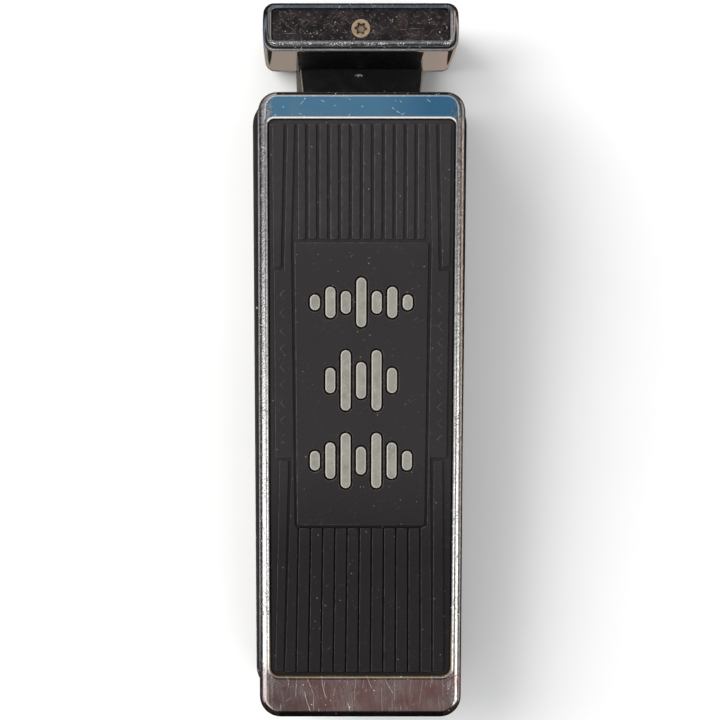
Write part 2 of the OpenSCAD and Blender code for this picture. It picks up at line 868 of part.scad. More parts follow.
module pot_shaft() {
    color([0.7, 0.7, 0.72]) translate([0, pinion_y, pinion_z]) rod_x(pot_shaft_r, -5, pot_face_x + 2.5);
}

module pot_body() {
    lug_w = 2.2;
    lug_pitch = 4.5;
    color([0.6, 0.58, 0.5]) translate([0, pinion_y, pinion_z]) {
        difference() {
            union() {
                rod_x(pot_d / 2, pot_face_x, pot_face_x + 10);
                rod_x(pot_bush_r - snug, pot_face_x - 5.4, pot_face_x);
            }
            rod_x(pot_shaft_r + running, 0, pot_face_x + 3);
        }
        // Three solder lugs
        for (k = [-1:1])
            box([pot_face_x + 1, k * lug_pitch - lug_w / 2, -pot_d / 2 - 3],
                [pot_face_x + 1.8, k * lug_pitch + lug_w / 2, -pot_d / 2 + 3]);
    }
}

module pot_nut() {
    color([0.75, 0.75, 0.76])
        translate([pot_face_x - 4, pinion_y, pinion_z]) rotate([0, 90, 0]) hex_nut(11, pot_bush_r, nut_t);
}

// ---- bracket, guide and spring ----

bracket_t = 1.5;
bracket_top_z = 36;
bracket_x = pot_face_x - bracket_t;
tab_y = 49.4;
guide_stub_r = 2;

module pot_bracket() {
    color([0.66, 0.64, 0.58]) difference() {
        union() {
            box([bracket_x, 21, 9], [pot_face_x, tab_y + bracket_t, bracket_top_z]);
            box([bracket_x, bracket_screw_at[0][1] - post_r, bracket_top_z - bracket_t],
                [bracket_screw_at[0][0] + post_r + weld, bracket_screw_at[1][1] + post_r, bracket_top_z]);
            box([-7, tab_y, 15], [pot_face_x, tab_y + bracket_t, 30]);
        }
        translate([0, pinion_y, pinion_z]) rod_x(pot_bush_r, 0, pot_face_x + cut);
        for (place = bracket_screw_at)
            translate([place[0], place[1], bracket_top_z - bracket_t - cut])
                cylinder(r = screw_r + screw_room, h = bracket_t + 2 * cut);
        translate([0, tab_y - cut, pinion_z]) rotate([-90, 0, 0])
            cylinder(r = guide_stub_r + running, h = bracket_t + 2 * cut);
    }
}

module bracket_screws() {
    color([0.7, 0.7, 0.7])
        for (place = bracket_screw_at)
            translate([place[0], place[1], bracket_top_z - bracket_t])
                pan_screw(pilot_r - snug, bracket_t + 3, 2.8, pan_head_h);
}

guide_back_y = 46.6;

module rack_guide() {
    cheek_x = rack_half_x + running;
    cheek_t = 1.6;
    low = [42, 15.5];
    color([0.86, 0.86, 0.82]) difference() {
        union() {
            box([-cheek_x - cheek_t, low[0], low[1]],
                [cheek_x + cheek_t, guide_back_y, 2 * pinion_z - low[1]]);
            translate([0, guide_back_y, pinion_z]) rotate([-90, 0, 0]) cylinder(r = guide_stub_r, h = 5);
        }
        box([-cheek_x, low[0] - cut, low[1] - cut], [cheek_x, rack_back_y + running, 2 * pinion_z]);
    }
}

// A bowed leaf between the guide and the bracket's tab
module pressure_spring() {
    leaf_t = 0.4;
    leaf_h = 7;
    bow = tab_y - guide_back_y - leaf_t;
    half = 5;
    outer = [for (k = [-half:half]) [k, guide_back_y + bow * (1 - cos(k * 90 / half))]];
    inner = [for (k = [half:-1:-half]) outer[k + half] + [0, leaf_t]];
    color([0.55, 0.55, 0.57]) translate([0, 0, pinion_z - leaf_h / 2]) difference() {
        linear_extrude(leaf_h) polygon(concat(outer, inner));
        translate([0, rack_y, leaf_h / 2]) rotate([-90, 0, 0]) cylinder(r = guide_stub_r + 0.3, h = 20);
    }
}

// ---- footswitch ----

switch_bush_r = 6;
switch_bush_h = 7.5;
switch_stem_r = 3.2;
switch_washer_t = 0.8;
press_travel = 3;

module footswitch_body() {
    half = 8.5;
    color([0.12, 0.2, 0.4]) translate([0, switch_y, 0]) difference() {
        union() {
            box([-half, -half, 11], [half, half, well_floor_z - wall]);
            translate([0, 0, well_floor_z - wall]) cylinder(r = switch_bush_r, h = switch_bush_h);
            // Nine solder lugs
            for (x = [-5, 0, 5], y = [-5, 0, 5]) box([x - 1, y - 0.4, 7], [x + 1, y + 0.4, 11]);
        }
        translate([0, 0, well_floor_z - 5]) cylinder(r = switch_stem_r + running, h = 20);
    }
}

module footswitch_plunger() {
    cap_low_z = well_floor_z - wall + switch_bush_h + press_travel + 0.2;
    cap_r = 4.4;
    rim = 1;
    color([0.7, 0.71, 0.73]) translate([0, switch_y, 0]) {
        translate([0, 0, well_floor_z - 1]) cylinder(r = switch_stem_r, h = cap_low_z - well_floor_z + 2);
        translate([0, 0, cap_low_z]) cylinder(r = cap_r, h = plunger_top_z - cap_low_z - rim);
        translate([0, 0, plunger_top_z - rim]) cylinder(r1 = cap_r, r2 = cap_r - rim, h = rim);
    }
}

module footswitch_washer() {
    color([0.75, 0.75, 0.76]) translate([0, switch_y, well_floor_z]) difference() {
        cylinder(r = 9, h = switch_washer_t);
        translate([0, 0, -cut]) cylinder(r = switch_bush_r + snug, h = switch_washer_t + 2 * cut);
    }
}

module footswitch_nut() {
    color([0.75, 0.75, 0.76])
        translate([0, switch_y, well_floor_z + switch_washer_t]) hex_nut(15, switch_bush_r + snug, nut_t);
}

// ---- circuit ----

board_z0 = 13;
board_z1 = 14.6;
board_y = [-40, 12];

module circuit_board() {
    color([0.16, 0.36, 0.2]) difference() {
        box([-24, board_y[0], board_z0], [24, board_y[1], board_z1]);
        for (place = board_hole_at) screw_post(place, screw_r + 0.15, board_z0 - cut, board_z1 + cut);
    }
}

module board_screws() {
    color([0.72, 0.72, 0.72])
        for (place = board_hole_at)
            both_sides()
                translate([place[0], place[1], board_z0]) pan_screw(pilot_r - snug, 8, 2.8, pan_head_h);
}

// A ring-wound coil in a round can
module inductor() {
    color([0.72, 0.2, 0.12]) translate([-8, -14, board_z1]) difference() {
        cylinder(r = 8, h = 9);
        translate([0, 0, 6]) cylinder(r = 2.4, h = 4);
    }
}

module transistors() {
    color([0.09, 0.09, 0.09])
        for (y = [-24, -6])
            translate([8, y, board_z1 + 2.5]) intersection() {
                cylinder(r = 2.4, h = 4.6);
                box([-3, -1.4, 0], [3, 3, 5]);
            }
    color([0.7, 0.7, 0.7])
        for (y = [-24, -6], k = [-1:1])
            translate([8 + k * 1.27, y, board_z1]) cylinder(r = 0.25, h = 2.5, $fn = 16);
}

module capacitors() {
    color([0.12, 0.2, 0.45])
        for (place = [[16, -29], [2, 2]]) translate([place[0], place[1], board_z1]) cylinder(r = 3.2, h = 11);
    color([0.75, 0.55, 0.12])
        for (place = [[-18, 0], [14, -14], [-20, -24]])
            translate([place[0], place[1], board_z1]) box([-1.8, -4.5, 0], [1.8, 4.5, 7.5]);
}

module resistors() {
    color([0.78, 0.66, 0.45])
        for (k = [0:5]) {
            x = k < 3 ? -4 : 4;
            y = k < 3 ? -38 + 3.4 * k : -38 + 3.4 * (k - 3);
            translate([x, y + 0.8, board_z1 + 1.2]) {
                rod_x(1.1, -2.9, 2.9);
                for (end = [-1, 1]) translate([end * 2.6, 0, -1.2]) cylinder(r = 0.3, h = 1.2, $fn = 16);
            }
        }
}

// ---- battery ----

battery_x = [-26.75, 21.75];
battery_y = [-68.5, -42];
battery_z = [6.6, 24.1];
battery_mid_y = (battery_y[0] + battery_y[1]) / 2;
terminal_z = 15.4;
terminal_half_pitch = 6.35;
// The two terminals differ in size, so the snap fits one way round only
function terminal_r(side) = side < 0 ? 2.9 : 3.8;

module battery() {
    color([0.25, 0.25, 0.27]) {
        translate([battery_x[0], 0, 0]) rotate([90, 0, 90])
            linear_extrude(battery_x[1] - battery_x[0])
                polygon(rounded(
                    [[battery_y[0], battery_z[0]], [battery_y[1], battery_z[0]],
                     [battery_y[1], battery_z[1]], [battery_y[0], battery_z[1]]],
                    [2, 2, 2, 2]
                ));
        for (side = [-1, 1])
            translate([0, battery_mid_y + side * terminal_half_pitch, terminal_z])
                rod_x(terminal_r(side), battery_x[1], battery_x[1] + 2.6);
    }
}

module battery_snap() {
    half_y = 12.5;
    half_z = 6.5;
    color([0.1, 0.1, 0.1]) difference() {
        box([battery_x[1] + 0.1, battery_mid_y - half_y, terminal_z - half_z],
            [battery_x[1] + 5, battery_mid_y + half_y, terminal_z + half_z]);
        for (side = [-1, 1])
            translate([0, battery_mid_y + side * terminal_half_pitch, terminal_z])
                rod_x(terminal_r(side) + 0.2, battery_x[1] - cut, battery_x[1] + 3);
    }
}

module battery_foam() {
    margin = [3, 2, 0.05];
    color([0.3, 0.3, 0.3])
        box([battery_x[0], battery_y[0], base_z] + margin,
            [battery_x[1], battery_y[1], battery_z[0]] - margin);
}

// ---- jacks ----

jack_bush_r = 4.75;
jack_washer_t = 0.5;

module jack_bodies() {
    half = 7;
    // The top stays under the footswitch's well
    top = well_floor_z - wall - jack_z - 0.2;
    inner_x = 12.5;
    color([0.1, 0.1, 0.11]) both_sides() translate([0, jack_y, jack_z]) difference() {
        union() {
            box([inner_x, -half, -half], [jack_pocket_floor - wall, half, top]);
            rod_x(jack_bush_r, jack_pocket_floor - wall, jack_pocket_floor + jack_washer_t + 2.4);
        }
        rod_x(jack_bore_r, inner_x - cut, base_w_toe);
    }
}

module jack_washers() {
    color([0.75, 0.75, 0.76]) both_sides() translate([0, jack_y, jack_z]) difference() {
        rod_x(7, jack_pocket_floor, jack_pocket_floor + jack_washer_t);
        rod_x(jack_bush_r + snug, 0, base_w_toe);
    }
}

module jack_nuts() {
    color([0.78, 0.78, 0.79]) both_sides()
        translate([jack_pocket_floor + jack_washer_t, jack_y, jack_z]) rotate([0, 90, 0])
            hex_nut(12.7, jack_bush_r + snug, 2);
}

// ---- wiring ----

// An eight-sided wire that runs through the given points; its stretches overlap at the bends
module wire(points) {
    wire_r = 0.6;
    for (i = [0:len(points) - 2]) {
        run = points[i + 1] - points[i];
        before = i > 0 ? wire_r / 2 : 0;
        after = i < len(points) - 2 ? wire_r / 2 : 0;
        lean = atan2(norm([run[0], run[1]]), run[2]);
        translate(points[i]) rotate([0, lean, atan2(run[1], run[0])])
            translate([0, 0, -before]) cylinder(r = wire_r, h = norm(run) + before + after, $fn = 8);
    }
}

module wiring() {
    // From each jack to the board
    jack_wire = [[23.5, 48.9, 20], [23.5, 20, 20], [12, 14, 20], [12, 4, 20], [12, 4, board_z1]];
    color([0.7, 0.12, 0.1]) both_sides() wire(jack_wire);
    // From the footswitch, the control and the battery
    color([0.1, 0.3, 0.12]) wire([[-9.4, 72, 15], [-9.4, 20, 10], [-9.4, 7, 10], [-9.4, 7, board_z0]]);
    color([0.8, 0.7, 0.1]) wire([[14.5, 21.3, 19], [5.5, 15, 19], [5.5, 9, 19], [5.5, 9, board_z1]]);
    color([0.6, 0.1, 0.1])
        wire([[24.5, -42, 13], [26, -38, 15], [26, -30, 18], [18, -24, 18], [18, -24, board_z1]]);
}

base_housing();
bottom_plate();
rubber_feet();
foot_screws();
plate_screws();
nose_cap();
nose_plate();
nose_screw();
treadle_casting();
tread_pad();
emblem_inlays();
switch_pad();
pivot_shaft();
pivot_bushes();
pivot_set_screws();
toe_bumpers();
heel_bumpers();
rack();
rack_pin();
rack_pin_clip();
rack_guide();
pressure_spring();
pot_bracket();
bracket_screws();
pot_body();
pot_shaft();
pot_nut();
pinion();
footswitch_body();
footswitch_plunger();
footswitch_washer();
footswitch_nut();
circuit_board();
board_screws();
inductor();
transistors();
capacitors();
resistors();
battery();
battery_snap();
battery_foam();
jack_bodies();
jack_washers();
jack_nuts();
wiring();
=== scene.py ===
import math

import bmesh
import bpy
from mathutils import Matrix, Vector
from mathutils.geometry import delaunay_2d_cdt


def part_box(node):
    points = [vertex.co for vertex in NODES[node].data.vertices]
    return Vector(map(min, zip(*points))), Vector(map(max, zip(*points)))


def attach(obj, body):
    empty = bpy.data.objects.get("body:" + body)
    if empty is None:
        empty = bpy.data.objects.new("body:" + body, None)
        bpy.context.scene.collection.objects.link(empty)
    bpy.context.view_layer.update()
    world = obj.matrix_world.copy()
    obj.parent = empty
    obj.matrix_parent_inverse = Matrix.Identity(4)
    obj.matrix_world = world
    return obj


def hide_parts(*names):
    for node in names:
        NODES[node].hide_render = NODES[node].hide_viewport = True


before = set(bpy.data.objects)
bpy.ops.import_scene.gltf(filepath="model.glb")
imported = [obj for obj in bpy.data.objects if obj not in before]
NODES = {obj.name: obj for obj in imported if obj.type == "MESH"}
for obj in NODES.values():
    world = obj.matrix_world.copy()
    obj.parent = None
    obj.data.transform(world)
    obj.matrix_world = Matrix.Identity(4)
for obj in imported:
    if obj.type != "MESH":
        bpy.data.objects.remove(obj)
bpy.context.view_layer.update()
MM = 0.001


def box_mm(node):
    """Lowest and highest corners of a CAD node, in millimetres."""
    low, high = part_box(node)
    return low / MM, high / MM


# ---------------------------------------------------------------- materials

class Nodes:
    """The nodes of one material or world. Its methods add nodes and return sockets."""

    def __init__(self, owner):
        owner.use_nodes = True
        self.tree = owner.node_tree
        self.tree.nodes.clear()

    def add(self, kind, **props):
        node = self.tree.nodes.new(kind)
        for key, value in props.items():
            setattr(node, key, value)
        return node

    def put(self, value, socket):
        if isinstance(value, bpy.types.NodeSocket):
            self.tree.links.new(value, socket)
        else:
            if hasattr(socket.default_value, "__len__") and len(socket.default_value) == 4:
                value = tuple(value) + (1.0,) * (4 - len(value))
            socket.default_value = value

    def maths3(self, operation, a, b=None, scale=None):
        node = self.add("ShaderNodeVectorMath", operation=operation)
        self.put(a, node.inputs[0])
        if b is not None:
            self.put(b, node.inputs[1])
        if scale is not None:
            self.put(scale, node.inputs["Scale"])
        return node.outputs[0]

    def maths(self, operation, a, b=0.0, clamp=False):
        node = self.add("ShaderNodeMath", operation=operation, use_clamp=clamp)
        self.put(a, node.inputs[0])
        self.put(b, node.inputs[1])
        return node.outputs[0]

    def chain(self, operation, values):
        total = values[0]
        for value in values[1:]:
            total = self.maths(operation, total, value)
        return total

    def times(self, *values):
        return self.chain("MULTIPLY", values)

    def plus(self, *values):
        return self.chain("ADD", values)

    def most(self, *values):
        return self.chain("MAXIMUM", values)

    def span(self, value, low, high, to_low=0.0, to_high=1.0):
        """value taken from low..high to to_low..to_high, clamped."""
        node = self.add("ShaderNodeMapRange", clamp=True)
        self.put(value, node.inputs["Value"])
        for key, number in zip(("From Min", "From Max", "To Min", "To Max"), (low, high, to_low, to_high)):
            self.put(number, node.inputs[key])
        return node.outputs["Result"]

    def mix(self, share, a, b):
        node = self.add("ShaderNodeMix", data_type="RGBA", clamp_factor=True)
        self.put(share, node.inputs["Factor"])
        self.put(a, node.inputs[6])
        self.put(b, node.inputs[7])
        return node.outputs[2]

    def coats(self, colour, *coats):
        """The colour with coats laid over it in turn; a coat is how much of it shows, and its colour."""
        for share, coat in coats:
            colour = self.mix(share, colour, coat)
        return colour


class Paint(Nodes):
    """One procedural material, with a Principled shader; lengths are in millimetres."""

    def __init__(self, name):
        self.mat = bpy.data.materials.new(name)
        super().__init__(self.mat)
        self.out = self.add("ShaderNodeOutputMaterial")
        self.bsdf = self.add("ShaderNodeBsdfPrincipled")
        self.put(self.bsdf.outputs[0], self.out.inputs[0])
        coord = self.add("ShaderNodeTexCoord").outputs["Object"]
        self.place = self.maths3("SCALE", coord, scale=1 / MM)
        self.heights = []

    def turned(self, angle):
        """Object coordinates turned about Z."""
        node = self.add("ShaderNodeMapping")
        self.put(self.place, node.inputs["Vector"])
        node.inputs["Rotation"].default_value = (0, 0, angle)
        return node.outputs[0]

    def stretched(self, x, y, z, turn=0.0):
        """Turned coordinates divided by these lengths."""
        return self.maths3("DIVIDE", self.turned(turn), (x, y, z))

    def noise(self, size=1.0, detail=3.0, vector=None, rough=0.55, shift=0.0):
        node = self.add("ShaderNodeTexNoise")
        if vector is None:
            vector = self.maths3("SCALE", self.place, scale=1 / size)
        if shift:
            vector = self.maths3("ADD", vector, (shift, shift * 1.7, shift * 0.3))
        self.put(vector, node.inputs["Vector"])
        node.inputs["Scale"].default_value = 1.0
        node.inputs["Detail"].default_value = detail
        node.inputs["Roughness"].default_value = rough
        return node.outputs["Fac"]

    def flecks(self, size, reach, patch, keep, detail=2, shift=0.0):
        """Dots, one to a cell of this size, that show only inside patches."""
        cell = self.add("ShaderNodeTexVoronoi")
        self.put(self.maths3("SCALE", self.place, scale=1 / size), cell.inputs["Vector"])
        cell.inputs["Scale"].default_value = 1.0
        patches = self.noise(patch, detail, shift=shift)
        return self.times(self.span(cell.outputs["Distance"], *reach), self.span(patches, *keep))

    def attribute(self, name):
        return self.add("ShaderNodeAttribute", attribute_name=name).outputs["Fac"]

    def axes(self, vector=None):
        node = self.add("ShaderNodeSeparateXYZ")
        self.put(self.place if vector is None else vector, node.inputs[0])
        return node.outputs

    def along(self, name, *reach):
        """span of one coordinate."""
        return self.span(self.axes()[name], *reach)

    def scratches(self, length, width, turn, keep, shift=0.0):
        """Thin streaks, 0 to 1, that lie at an angle to Y and come and go."""
        streak = self.noise(vector=self.stretched(width * 4, length, length, turn), detail=2.0, shift=shift)
        gate = self.noise(6.0, 2.0, shift=shift + 3.1)
        return self.times(self.span(streak, 0.66, 0.74), self.span(gate, keep, keep + 0.12))

    def hairs(self, spacing, length, turn, width, keep, shift=0.0):
        """Separate thin lines, 0 to 1, nearly straight, at an angle to Y; each one starts and stops by itself."""
        x, y, z = self.axes(self.turned(turn))
        bend = self.times(self.noise(24.0, 1.0, shift=shift), 5.0)
        cell = self.add("ShaderNodeTexVoronoi", voronoi_dimensions="1D")
        self.put(self.maths("DIVIDE", self.plus(x, bend, shift), spacing), cell.inputs["W"])
        cell.inputs["Scale"].default_value = 1.0
        line = self.span(cell.outputs["Distance"], width / spacing, 0.3 * width / spacing)
        place = self.add("ShaderNodeCombineXYZ")
        self.put(self.maths("DIVIDE", y, length), place.inputs[1])
        self.put(self.maths("DIVIDE", z, length), place.inputs[2])
        own = self.maths3("SCALE", cell.outputs["Color"], scale=37.0)
        gate = self.noise(vector=self.maths3("ADD", own, place.outputs[0]), detail=1.0)
        return self.times(line, self.span(gate, keep, keep + 0.04))

    def bump(self, height, depth):
        """Adds a height in millimetres: height is 0 to 1, depth is its size."""
        self.heights.append((height, depth))

    def finish(self, **inputs):
        normal = None
        for height, depth in self.heights:
            node = self.add("ShaderNodeBump")
            node.inputs["Strength"].default_value = 1.0
            node.inputs["Distance"].default_value = depth * MM
            self.put(height, node.inputs["Height"])
            if normal is not None:
                self.put(normal, node.inputs["Normal"])
            normal = node.outputs[0]
        if normal is not None:
            self.put(normal, self.bsdf.inputs["Normal"])
        for key, value in inputs.items():
            self.put(value, self.bsdf.inputs[key.replace("_", " ")])
        return self.mat


def shade(colour, scale, lift=0.0):
    return tuple(min(1, c * scale + lift) for c in colour)


def chrome(name):
    """Worn chrome plate: hairlines, a rubbed and pitted skin where a piece is worn, bright specks along its worn
    edges that on the head's heel-side bead stand for a painted highlight, black seams of painted shade that turn
    a dirty brown toward the heel, a painted highlight at the toe, painted reflections in places, and a mottled,
    streaky haze at the heel."""
    p = Paint(name)
    # The second mark is a painted highlight: whiter, less mirror-like metal on the tray's toe bead and toe edge
    worn, shine = p.attribute("worn"), p.attribute("shine")
    heel = p.times(p.along("Y", -106, -112), p.along("Y", -124.9, -124.0))
    toe = p.times(p.along("Y", 83, 86), p.along("Y", 96, 94))
    # Hairlines: steep ones at the heel, a few short slanted ones elsewhere
    steep = p.most(p.hairs(9.0, 11, -0.21, 0.09, 0.53, 1.0), p.hairs(8.0, 9, -0.36, 0.07, 0.55, 5.0),
                   p.times(p.hairs(1.6, 8, 0.03, 0.05, 0.56, 8.0), 0.7),
                   p.times(p.hairs(3.6, 6, 0.75, 0.05, 0.58, 11.0), 0.6))
    short = p.most(p.hairs(3.6, 3.0, -1.05, 0.08, 0.64, 14.0), p.hairs(4.5, 2.4, 0.7, 0.07, 0.65, 17.0))
    scuff = p.most(p.times(steep, heel, 0.62), p.times(short, p.along("Y", -100, -90, 0, 0.8)))
    grit = p.flecks(2.3, (0.1, 0.05), 6, (0.46, 0.56), 2, 4)
    # Bright specks along worn edges; on the head's heel-side bead they stand for a painted highlight
    speck = p.times(p.flecks(0.55, (0.42, 0.24), 3.2, (0.44, 0.6), 3, 8), p.attribute("edge"))
    # Bright marks: the painted highlight, specks, scuffs and grit
    bright = p.most(shine, speck, scuff, grit)
    # Heel: maroon patches, a painted purple-grey reflection that darkens its left side, and fine streaks along the
    # pedal
    maroon = p.span(p.noise(vector=p.stretched(8, 7, 7), detail=3, shift=11), 0.34, 0.72)
    streak = p.noise(vector=p.stretched(0.32, 5, 5, -0.12), detail=4, shift=1, rough=0.65)
    patch = p.noise(vector=p.stretched(6, 9, 9), detail=3, shift=3)
    haze = p.times(p.span(streak, 0.4, 0.68), p.span(patch, 0.34, 0.62, 0.25, 1),
                   p.plus(p.times(heel, 0.075), p.times(toe, 0.012)))
    # Rubbed sides: slanted strokes and pits
    rub = p.noise(vector=p.stretched(0.3, 1.25, 1.25, 0.7), detail=3, shift=2, rough=0.6)
    bare = p.times(p.span(rub, 0.5, 0.7), worn, 0.14)
    pit = p.times(p.flecks(0.75, (0.3, 0.16), 9, (0.46, 0.58), 3), worn)
    # Painted reflection: a blue strip along the left side of the head's rim
    left_rim_reflection = p.times(p.along("X", -31.8, -33.2), p.along("Y", 104, 108), p.along("Z", 44, 46))
    # Seams and recesses: painted shade, black toward the toe and at the head, giving way to brown dirt toward the
    # heel
    shade_and_grime = p.times(p.attribute("dirt"), p.span(p.noise(0.8, 3), 0.1, 0.36))
    colour = p.coats(
        (0.8, 0.8, 0.8),
        (p.times(maroon, heel, 0.85), (0.66, 0.44, 0.42)),
        # Painted reflection: the heel margin darker toward its left
        (p.times(heel, p.along("X", -10, -29), 0.6), (0.3, 0.24, 0.25)),
        # Painted reflection: the toe margin darker toward its right
        (p.times(toe, p.along("X", 6, 24)), (0.46, 0.57, 0.65)),
        (p.times(p.span(rub, 0.6, 0.42), worn, 0.5), (0.2, 0.19, 0.185)),
        (p.times(pit, 0.75), (0.1, 0.085, 0.08)),
        (left_rim_reflection, (0.27, 0.32, 0.38)),
        (shade_and_grime, p.mix(p.along("Y", -88, -104), (0.012, 0.011, 0.011), (0.15, 0.095, 0.035))),
        (bright, (0.93, 0.92, 0.9)))
    lost = p.most(p.times(scuff, p.span(heel, 0, 1, 0.55, 0.3)), p.times(grit, 0.5), p.times(speck, 0.7),
                  p.times(shine, 0.65), shade_and_grime, haze)
    rough = p.plus(p.span(p.noise(9, 4), 0.35, 0.75, 0.04, 0.1), p.times(bright, 0.3), p.times(haze, 1.2),
                   p.times(worn, 0.07), p.times(shade_and_grime, 0.6))
    p.bump(p.times(rub, worn), 0.035)
    p.bump(scuff, -0.006)
    p.bump(pit, -0.05)
    p.bump(p.noise(5, 2), 0.008)
    return p.finish(Base_Color=colour, Metallic=p.span(p.maths("ADD", lost, bare, True), 0, 1, 1, 0),
                    Roughness=rough)


def rubber(name, colour=(0.0234, 0.0211, 0.0227), dust=0.5):
    """Moulded rubber with a fine grain and dust; paler edges, a painted highlight broken up by worn patches; painted
    shade at the foot of its heel ridges; painted light at the toe and painted shade toward the heel.
    """
    p = Paint(name)
    grain = p.noise(0.28, 3)
    # Paler edges: a painted highlight, strongest on each ridge's left edge, broken up by worn patches
    worn = p.times(p.attribute("edge"), p.span(p.noise(1.7, 3), 0.36, 0.66, 0.15, 1))
    lint = p.scratches(2.4, 0.05, 1.0, 0.5, 12.0)
    speck = p.most(p.flecks(2.9, (0.09, 0.05), 7, (0.45, 0.56), 2, 2), p.times(lint, 0.5))
    ends = p.plus(p.along("Y", 38, 48, 0.03, 0.75), p.along("Y", -56, -62, 0, 0.1))
    body = p.coats(
        colour,
        (p.span(p.noise(22, 1), 0.35, 0.7), shade(colour, 1.1)),
        # Painted light and shade: darker toward the heel, paler at the toe ridges
        (p.along("Y", -34, -66), shade(colour, 0.57)),
        (p.along("Y", 38, 48), shade(colour, 1.2)),
        (p.times(worn, 0.55), (0.2, 0.165, 0.135)),
        # Painted shade: near black at the foot of the heel ridges
        (p.attribute("dirt"), (0.002, 0.002, 0.002)),
        (p.times(speck, dust), (0.4, 0.37, 0.32)),
        (p.times(p.span(p.noise(2.4, 5), 0.45, 0.8), ends, 0.07 * dust), (0.3, 0.28, 0.25)))
    p.bump(grain, 0.03)
    p.bump(speck, 0.08)
    return p.finish(Base_Color=body, Roughness=p.span(grain, 0.3, 0.7, 0.6, 0.82), Specular_IOR_Level=0.17)


def cast_paint(name):
    """Black enamel on a casting: orange peel, dust in the low spots, and scuffs through to a paler undercoat."""
    p = Paint(name)
    scuff = p.most(p.scratches(9, 0.12, 0.6, 0.55), p.scratches(7, 0.12, -0.9, 0.58, 5.0))
    # A knock on the neck, through to bare metal
    near = p.add("ShaderNodeVectorMath", operation="LENGTH")
    p.put(p.maths3("DIVIDE", p.maths3("SUBTRACT", p.place, (0.2, 107.9, 9.0)), (2.4, 0.7, 2.0)), near.inputs[0])
    ragged = p.span(p.noise(0.8, 3, shift=5), 0.3, 0.7, 0, 1.1)
    body = p.coats(
        (0.0115, 0.0105, 0.0115),
        (p.times(p.span(p.noise(5, 6), 0.5, 0.78), 0.12), (0.13, 0.12, 0.11)),
        (p.times(scuff, 0.35), (0.3, 0.28, 0.26)),
        (p.times(p.flecks(5.5, (0.1, 0.05), 20, (0.55, 0.6), 1), 0.7), (0.38, 0.36, 0.33)),
        (p.span(p.plus(near.outputs["Value"], ragged), 1.05, 0.9), (0.6, 0.57, 0.52)),
        # Painted highlight: pale, broken strips along the neck's top edges
        (p.times(p.attribute("edge"), p.span(p.noise(1.5, 4), 0.3, 0.5, 0.55, 1)), (0.36, 0.31, 0.25)))
    p.bump(p.noise(0.9, 2), 0.05)
    p.bump(scuff, -0.02)
    return p.finish(Base_Color=body, Roughness=p.span(p.noise(3, 3), 0.3, 0.7, 0.36, 0.6), Specular_IOR_Level=0.35)


def scuffed_plate(name):
    """The black plate in the head: kicked, dusty, reddish in patches, full of short pale scuffs."""
    p = Paint(name)
    red = p.times(p.span(p.noise(0.9, 3, shift=4), 0.5, 0.66), p.span(p.noise(9, 2, shift=9), 0.5, 0.64))
    marks = p.span(p.noise(0.55, 5, rough=0.7), 0.58, 0.7)
    gate = p.span(p.noise(4.5, 3, shift=7), 0.44, 0.6)
    pale = p.most(p.times(marks, gate, 0.7), p.hairs(1.9, 1.8, 0.9, 0.07, 0.56),
                  p.hairs(1.8, 2.0, -0.7, 0.07, 0.57, 8.0), p.hairs(2.2, 2.6, 1.5, 0.08, 0.57, 13.0))
    body = p.coats(
        (0.0045, 0.004, 0.005),
        (p.span(p.noise(4, 4), 0.4, 0.66), (0.024, 0.016, 0.017)),
        (p.times(red, 0.45), (0.085, 0.045, 0.038)),
        (p.times(pale, 0.62), (0.25, 0.22, 0.21)),
        (p.times(p.flecks(1.3, (0.2, 0.12), 2.6, (0.48, 0.58), 2, 1), 0.8), (0.34, 0.27, 0.19)),
        (p.flecks(3.4, (0.07, 0.04), 8, (0.45, 0.5), 1, 6), (0.6, 0.55, 0.5)))
    p.bump(p.noise(0.6, 4), 0.05)
    p.bump(pale, -0.03)
    return p.finish(Base_Color=body, Roughness=p.span(pale, 0, 1, 0.42, 0.75), Specular_IOR_Level=0.35)


def satin_metal(name, colour, rough, grain_turn=0.0, scale=1.0, mirror=1.0, shade_and_soil=(0.15, 0.085, 0.035)):
    """Satin or brushed metal with a grain, scratches and dull patches."""
    p = Paint(name)
    grain = p.noise(vector=p.stretched(0.12 * scale, 5 * scale, 5 * scale, grain_turn), detail=3)
    patch = p.noise(3.5 * scale, 4)
    scuff = p.most(p.scratches(8, 0.09, 0.9, 0.5), p.scratches(8, 0.09, -0.5, 0.52, 6.0))
    shade_and_grime = p.times(p.attribute("dirt"), p.span(p.noise(0.6, 3), 0.2, 0.45))
    dots = p.flecks(0.75 * scale, (0.28, 0.13), 2.5 * scale, (0.44, 0.58), 2, 3)
    body = p.coats(
        shade(colour, 0.7),
        (p.span(patch, 0.35, 0.7), colour),
        (p.times(p.span(grain, 0.4, 0.7), 0.4), shade(colour, 1.25)),
        (p.times(dots, 0.8), shade(colour, 1.8)),
        (p.times(scuff, 0.5), shade(colour, 0.55)),
        # Painted highlight: a paler copy of the colour on marked edges
        (p.attribute("edge"), shade(colour, 1.75)),
        # Marked seams and recesses: painted shade, brownish where dirt mixes in on the inlays
        (shade_and_grime, shade_and_soil))
    p.bump(grain, 0.008)
    p.bump(scuff, -0.01)
    roughness = p.plus(p.span(patch, 0.3, 0.7, rough - 0.06, rough + 0.1), p.times(scuff, 0.15))
    return p.finish(Base_Color=body, Metallic=p.span(shade_and_grime, 0, 1, mirror, 0), Roughness=roughness)


